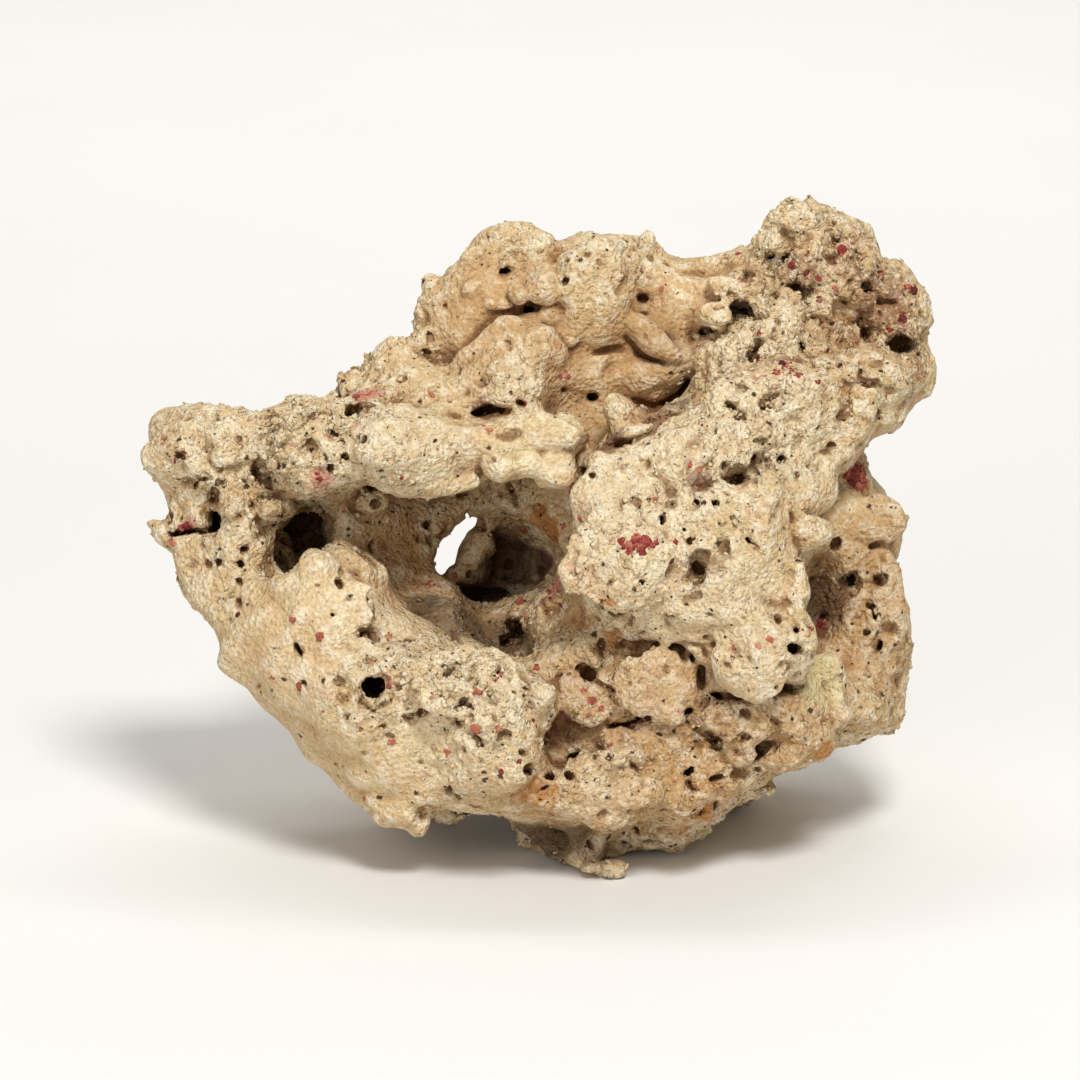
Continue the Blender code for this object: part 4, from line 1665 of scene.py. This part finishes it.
@dataclass
class Crumbs:
    """Grains of broken coral that are grown onto the skin, set there by Geometry Nodes."""

    name: str
    scattered: int = 9000
    smallest: float = 0.4 * MM
    largest: float = 1.5 * MM
    flatness: float = 0.5
    tilt: float = 0.5
    unevenness: float = 2.0 * MM
    clear: float = 2.0 * MM
    seed: int = 5
    carried: tuple[str, ...] = ("growth", "ground", "tint_and_shade")

    def build(self, skin: bpy.types.Object, material: bpy.types.Material) -> bpy.types.Object:
        """Sets the grains on the skin.

        Args:
            skin: the rock's skin.
            material: what they are made of.

        Returns:
            The grains as one mesh object.
        """
        grains = bpy.data.objects.new(self.name, self.seats(skin))
        bpy.context.scene.collection.objects.link(grains)
        grow = grains.modifiers.new("grow", "NODES")
        grow.node_group = self.tree(material)
        names = {item.name: item.identifier for item in grow.node_group.interface.items_tree if item.in_out == "INPUT"}
        grow[names["Flatness"]] = self.flatness
        grow[names["Tilt"]] = self.tilt
        grow[names["Unevenness"]] = self.unevenness
        grow[names["Seed"]] = self.seed
        made_plain(grains)
        return grains

    def seats(self, skin: bpy.types.Object) -> bpy.types.Mesh:
        """A point for each grain on the rough parts of the skin, with the patches that the finish reads there and a
        crest's relief, which paints a highlight on it.

        Args:
            skin: the rock's skin.

        Returns:
            A mesh of loose points.
        """
        mesh = skin.data
        points = points_of(mesh)
        corners = np.empty(len(mesh.polygons) * 3, np.int32)
        mesh.polygons.foreach_get("vertices", corners)
        corners = corners.reshape(-1, 3)
        a, b, c = (points[corners[:, i]] for i in range(3))
        across = np.cross(b - a, c - a)
        area = np.linalg.norm(across, axis=1)
        rough = np.empty(len(points), np.float32)
        mesh.attributes["rough"].data.foreach_get("value", rough)
        chance = area * np.clip(rough[corners[:, 0]] - 0.55, 0.0, 1.0) ** 1.5 * (a[:, 2] > self.clear)
        chooser = np.random.default_rng(self.seed)
        chosen = chooser.choice(len(corners), self.scattered, p=chance / chance.sum())
        shares = chooser.dirichlet((1.0, 1.0, 1.0), self.scattered)
        place = sum(shares[:, i, None] * points[corners[chosen, i]] for i in range(3))
        lean = across[chosen] / area[chosen, None]
        size = self.smallest + (self.largest - self.smallest) * chooser.random(self.scattered) ** 2.5
        seats = self.loose(place, lean, size)
        for name in self.carried:
            rows = np.empty(len(points) * 4, np.float32)
            mesh.attributes[name].data.foreach_get("color", rows)
            put_attribute(seats, name, rows.reshape(-1, 4)[corners[chosen, 0], :3])
        # Each grain is given the relief of a crest, so the finish paints a highlight on it and no hollow shade.
        crest = np.array([[0.66, 0.6, 0.5]])
        put_attribute(seats, "relief", crest + chooser.uniform(-0.16, 0.16, (self.scattered, 1)))
        return seats

    def loose(self, place: np.ndarray, lean: np.ndarray, size: np.ndarray) -> bpy.types.Mesh:
        """A mesh of loose points that carry a direction and a size."""
        mesh = bpy.data.meshes.new(self.name)
        mesh.vertices.add(len(place))
        mesh.vertices.foreach_set("co", place.astype(np.float32).ravel())
        directions = mesh.attributes.new("lean", "FLOAT_VECTOR", "POINT")
        directions.data.foreach_set("vector", lean.astype(np.float32).ravel())
        mesh.attributes.new("reach", "FLOAT", "POINT").data.foreach_set("value", size.astype(np.float32))
        return mesh

    def shape(self, wiring: Wiring) -> bpy.types.NodeSocket:
        """What is set on each seat: a ball of 20 faces."""
        return wiring.add("GeometryNodeMeshIcoSphere", {"Radius": 1.0, "Subdivisions": 1}).outputs[0]

    def tree(self, material: bpy.types.Material) -> bpy.types.NodeTree:
        """The nodes that set a lumpy, flattened grain on each seat.

        Args:
            material: what the grains are made of.

        Returns:
            The tree.
        """
        group = bpy.data.node_groups.new(self.name, "GeometryNodeTree")
        group.interface.new_socket("Geometry", in_out="INPUT", socket_type="NodeSocketGeometry")
        for name in ("Flatness", "Tilt", "Unevenness"):
            group.interface.new_socket(name, in_out="INPUT", socket_type="NodeSocketFloat")
        group.interface.new_socket("Seed", in_out="INPUT", socket_type="NodeSocketInt")
        group.interface.new_socket("Geometry", in_out="OUTPUT", socket_type="NodeSocketGeometry")
        wiring = Wiring(group)
        given = wiring.add("NodeGroupInput").outputs
        seats = wiring.add("GeometryNodeMeshToPoints", {"Mesh": given["Geometry"]})
        lean = wiring.add("GeometryNodeInputNamedAttribute", {"Name": "lean"}, data_type="FLOAT_VECTOR")
        reach = wiring.add("GeometryNodeInputNamedAttribute", {"Name": "reach"}, data_type="FLOAT")
        upright = wiring.add("FunctionNodeAlignRotationToVector", {"Vector": lean.outputs[0]}, axis="Z")
        inputs = {0: (-1.0, -1.0, -6.0), 1: (1.0, 1.0, 6.0), "Seed": given["Seed"]}
        swing = wiring.add("FunctionNodeRandomValue", inputs, data_type="FLOAT_VECTOR")
        leaning = wiring.add(
            "ShaderNodeVectorMath", {0: swing.outputs[0], "Scale": given["Tilt"]}, operation="SCALE"
        )
        swung = wiring.add("FunctionNodeEulerToRotation", {0: leaning.outputs[0]})
        inputs = {"Rotation": upright.outputs[0], "Rotate By": swung.outputs[0]}
        turn = wiring.add("FunctionNodeRotateRotation", inputs, rotation_space="LOCAL")
        ball = self.shape(wiring)
        narrow, wide = (0.7, 0.7, 0.6), (1.35, 1.35, 1.2)
        inputs = {0: narrow, 1: wide, "Seed": given["Seed"]}
        stretch = wiring.add("FunctionNodeRandomValue", inputs, data_type="FLOAT_VECTOR")
        size = wiring.add("ShaderNodeVectorMath", {0: stretch.outputs[0], "Scale": reach.outputs[0]}, operation="SCALE")
        flat = wiring.add("ShaderNodeCombineXYZ", {0: 1.0, 1: 1.0, 2: given["Flatness"]})
        scale = wiring.add("ShaderNodeVectorMath", {0: size.outputs[0], 1: flat.outputs[0]}, operation="MULTIPLY")
        inputs = {"Points": seats.outputs[0], "Instance": ball}
        inputs |= {"Rotation": turn.outputs[0], "Scale": scale.outputs[0]}
        set_on = wiring.add("GeometryNodeInstanceOnPoints", inputs)
        tone = wiring.add("FunctionNodeRandomValue", {2: 0.0, 3: 1.0, "Seed": given["Seed"]}, data_type="FLOAT")
        inputs = {"Geometry": set_on.outputs[0], "Name": "tone", "Value": tone.outputs[1]}
        toned = wiring.add("GeometryNodeStoreNamedAttribute", inputs, data_type="FLOAT", domain="INSTANCE")
        real = wiring.add("GeometryNodeRealizeInstances", {0: toned.outputs[0]})
        cloud = wiring.add("ShaderNodeTexNoise", {"Scale": 700.0, "Detail": 2.0})
        push = wiring.add("ShaderNodeVectorMath", {0: cloud.outputs[1], 1: (0.5, 0.5, 0.5)}, operation="SUBTRACT")
        shift = wiring.add(
            "ShaderNodeVectorMath", {0: push.outputs[0], "Scale": given["Unevenness"]}, operation="SCALE"
        )
        uneven = wiring.add("GeometryNodeSetPosition", {"Geometry": real.outputs[0], "Offset": shift.outputs[0]})
        smooth = wiring.add("GeometryNodeSetShadeSmooth", {0: uneven.outputs[0]})
        dressed = wiring.add("GeometryNodeSetMaterial", {"Geometry": smooth.outputs[0], "Material": material})
        wiring.add("NodeGroupOutput", {0: dressed.outputs[0]})
        return group


@dataclass
class Crust(Crumbs):
    """Small raised spots of a living crust that dried: some where the face shows them, and some scattered."""

    placed: list[tuple[float, float, float]] = field(default_factory=list)
    scattered: int = 60
    smallest: float = 0.6 * MM
    largest: float = 1.5 * MM
    flatness: float = 0.45
    tilt: float = 0.15
    unevenness: float = 1.1 * MM

    def seats(self, skin: bpy.types.Object) -> bpy.types.Mesh:
        """A point for each spot, with smaller ones round the large ones.

        Args:
            skin: the rock's skin.

        Returns:
            A mesh of loose points.
        """
        tree = BVHTree.FromObject(skin, bpy.context.evaluated_depsgraph_get())
        chooser = np.random.default_rng(self.seed)
        placed = list(self.placed)
        for across, down, radius in self.placed:
            for turn in chooser.uniform(0.0, math.tau, round(radius)):
                away = radius * chooser.uniform(0.6, 1.1)
                size = radius * chooser.uniform(0.3, 0.6)
                placed.append((across + away * math.cos(turn), down + away * math.sin(turn), size))
        rows = []
        for across, down, radius in placed:
            sight = (FACE.place(across, down) - FACE.eye).normalized()
            point, normal, _, _ = tree.ray_cast(FACE.eye, sight)
            if point is not None:
                rows.append((*point, *normal, radius * FACE.pixel))
        polygons = skin.data.polygons
        for i in chooser.integers(0, len(polygons), self.scattered):
            size = self.smallest + (self.largest - self.smallest) * chooser.random() ** 2
            rows.append((*polygons[int(i)].center, *polygons[int(i)].normal, size))
        rows = np.array(rows)
        rows = rows[rows[:, 2] > self.clear]
        return self.loose(rows[:, :3], rows[:, 3:6], rows[:, 6])

    def shape(self, wiring: Wiring) -> bpy.types.NodeSocket:
        """What is set on each seat: a ball of 40 faces."""
        return wiring.add("GeometryNodeMeshUVSphere", {"Radius": 1.0, "Segments": 8, "Rings": 5}).outputs[0]


@dataclass(frozen=True)
class StudioFinish:
    """The pale, plain paper that the rock is shown on."""

    paper: Colour = shade(236, 234, 230)
    roughness: float = 0.9

    def build(self) -> bpy.types.Material:
        """The paper's material."""
        material, wiring = new_material("studio paper")
        at = wiring.add("ShaderNodeTexCoord").outputs["Object"]
        cloud = wiring.noise(at, 0.4, 2.0).outputs[0]
        colour = wiring.mix(cloud, self.paper, shade(230, 228, 224))
        inputs = {"Base Color": colour, "Roughness": self.roughness}
        surface = wiring.add("ShaderNodeBsdfPrincipled", inputs)
        wiring.add("ShaderNodeOutputMaterial", {"Surface": surface.outputs[0]})
        return material


@dataclass
class Studio:
    """The floor, the lights, the soft surroundings and the camera."""

    floor_reach: float = 6.0
    bend_radius: float = 1.5
    back: float = 3.0
    wall_height: float = 5.0
    lights: tuple[tuple[str, float, float, Place, Place], ...] = (
        ("key", 0.5, 38.0, (0.3, -1.35, 1.75), (0.0, 0.0, 0.1)),
        ("fill", 1.6, 13.0, (-1.0, -1.9, 0.8), (0.0, 0.0, 0.1)),
        ("backdrop", 2.5, 110.0, (0.0, 1.2, 3.2), (0.0, 4.5, 0.9)),
    )
    surroundings: float = 0.22

    def build(self) -> bpy.types.Object:
        """Sets up everything round the rock.

        Returns:
            The floor, which is no part of the object.
        """
        floor = self.floor()
        for name, size, power, place, aim in self.lights:
            self.light(name, size, power, place, aim)
        world = bpy.data.worlds.new("studio")
        world.use_nodes = True
        world.node_tree.nodes["Background"].inputs[0].default_value = (1.0, 0.985, 0.96, 1.0)
        world.node_tree.nodes["Background"].inputs[1].default_value = self.surroundings
        bpy.context.scene.world = world
        bpy.context.scene.view_settings.view_transform = "Standard"
        self.camera()
        return floor

    def floor(self) -> bpy.types.Object:
        """A sheet of paper that lies under the rock and bends up behind it."""
        bend = [
            (self.back + self.bend_radius * math.sin(t), self.bend_radius * (1 - math.cos(t)))
            for t in (math.pi / 2 * i / 16 for i in range(17))
        ]
        outline = [(-self.floor_reach, 0.0), *bend, (self.back + self.bend_radius, self.wall_height)]
        points = []
        for y, z in outline:
            points += [(-self.floor_reach, y, z), (self.floor_reach, y, z)]
        faces = [(2 * i, 2 * i + 1, 2 * i + 3, 2 * i + 2) for i in range(len(outline) - 1)]
        mesh = bpy.data.meshes.new("studio_floor")
        mesh.from_pydata(points, [], faces)
        mesh.shade_smooth()
        mesh.materials.append(StudioFinish().build())
        floor = bpy.data.objects.new("studio_floor", mesh)
        bpy.context.scene.collection.objects.link(floor)
        return floor

    def light(self, name: str, size: float, power: float, place: Place, aim: Place) -> None:
        """Hangs a soft square light.

        Args:
            name: its name.
            size: its side.
            power: its power in watts.
            place: where it hangs.
            aim: what it looks at.
        """
        lamp = bpy.data.lights.new(name, "AREA")
        lamp.size = size
        lamp.energy = power
        hung = bpy.data.objects.new(name, lamp)
        hung.location = place
        hung.rotation_euler = (Vector(aim) - Vector(place)).to_track_quat("-Z", "Y").to_euler()
        bpy.context.scene.collection.objects.link(hung)

    def camera(self) -> None:
        """Sets the camera where the photograph was taken from."""
        camera = bpy.data.objects.new("camera", bpy.data.cameras.new("camera"))
        camera.data.sensor_width = FACE.sensor
        camera.data.lens = FACE.lens
        camera.location = FACE.eye
        camera.rotation_euler = (math.pi / 2 - FACE.elevation, 0.0, 0.0)
        bpy.context.scene.collection.objects.link(camera)
        bpy.context.scene.camera = camera


def spots(words: str) -> list[tuple[float, float, float]]:
    """Reads spots from words: across, down and radius, parted by semicolons."""
    parts = words.replace("\n", ";").split(";")
    return [tuple(float(word) for word in part.split()) for part in parts if part.split()]


def main() -> None:
    """Builds the rock's skin, its crusts and the studio."""
    logging.basicConfig(level=logging.INFO, format="%(message)s")
    groups = StoneGroups()
    skin = RockSkin().build()
    skin.data.materials.append(LimestoneFinish().build(groups))
    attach(skin, BODY)
    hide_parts(ROCK_NODE)
    LOG.info("%s: %d triangles", skin.name, len(skin.data.polygons))

    stone = skin.data.materials[0]
    crimson = CrustFinish("crimson crust", shade(136, 46, 38), shade(74, 24, 21), shade(184, 110, 86)).build(groups)
    coral = CrustFinish("coral crust", shade(176, 98, 74), shade(140, 70, 52), shade(200, 142, 112)).build(groups)
    growths = (
        (Crumbs("coral_grains"), stone),
        (Crumbs("coral_crumbs", seed=6), stone),
        (Crust("crimson_spots", placed=spots(CRIMSON_SPOTS)), crimson),
        (Crust("coral_spots", placed=spots(CORAL_SPOTS), flatness=0.3, unevenness=0.6 * MM, seed=8), coral),
    )
    for growth, material in growths:
        piece = growth.build(skin, material)
        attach(piece, BODY)
        LOG.info("%s: %d faces", piece.name, len(piece.data.polygons))

    Studio().build()


if __name__ == "__main__":
    main()
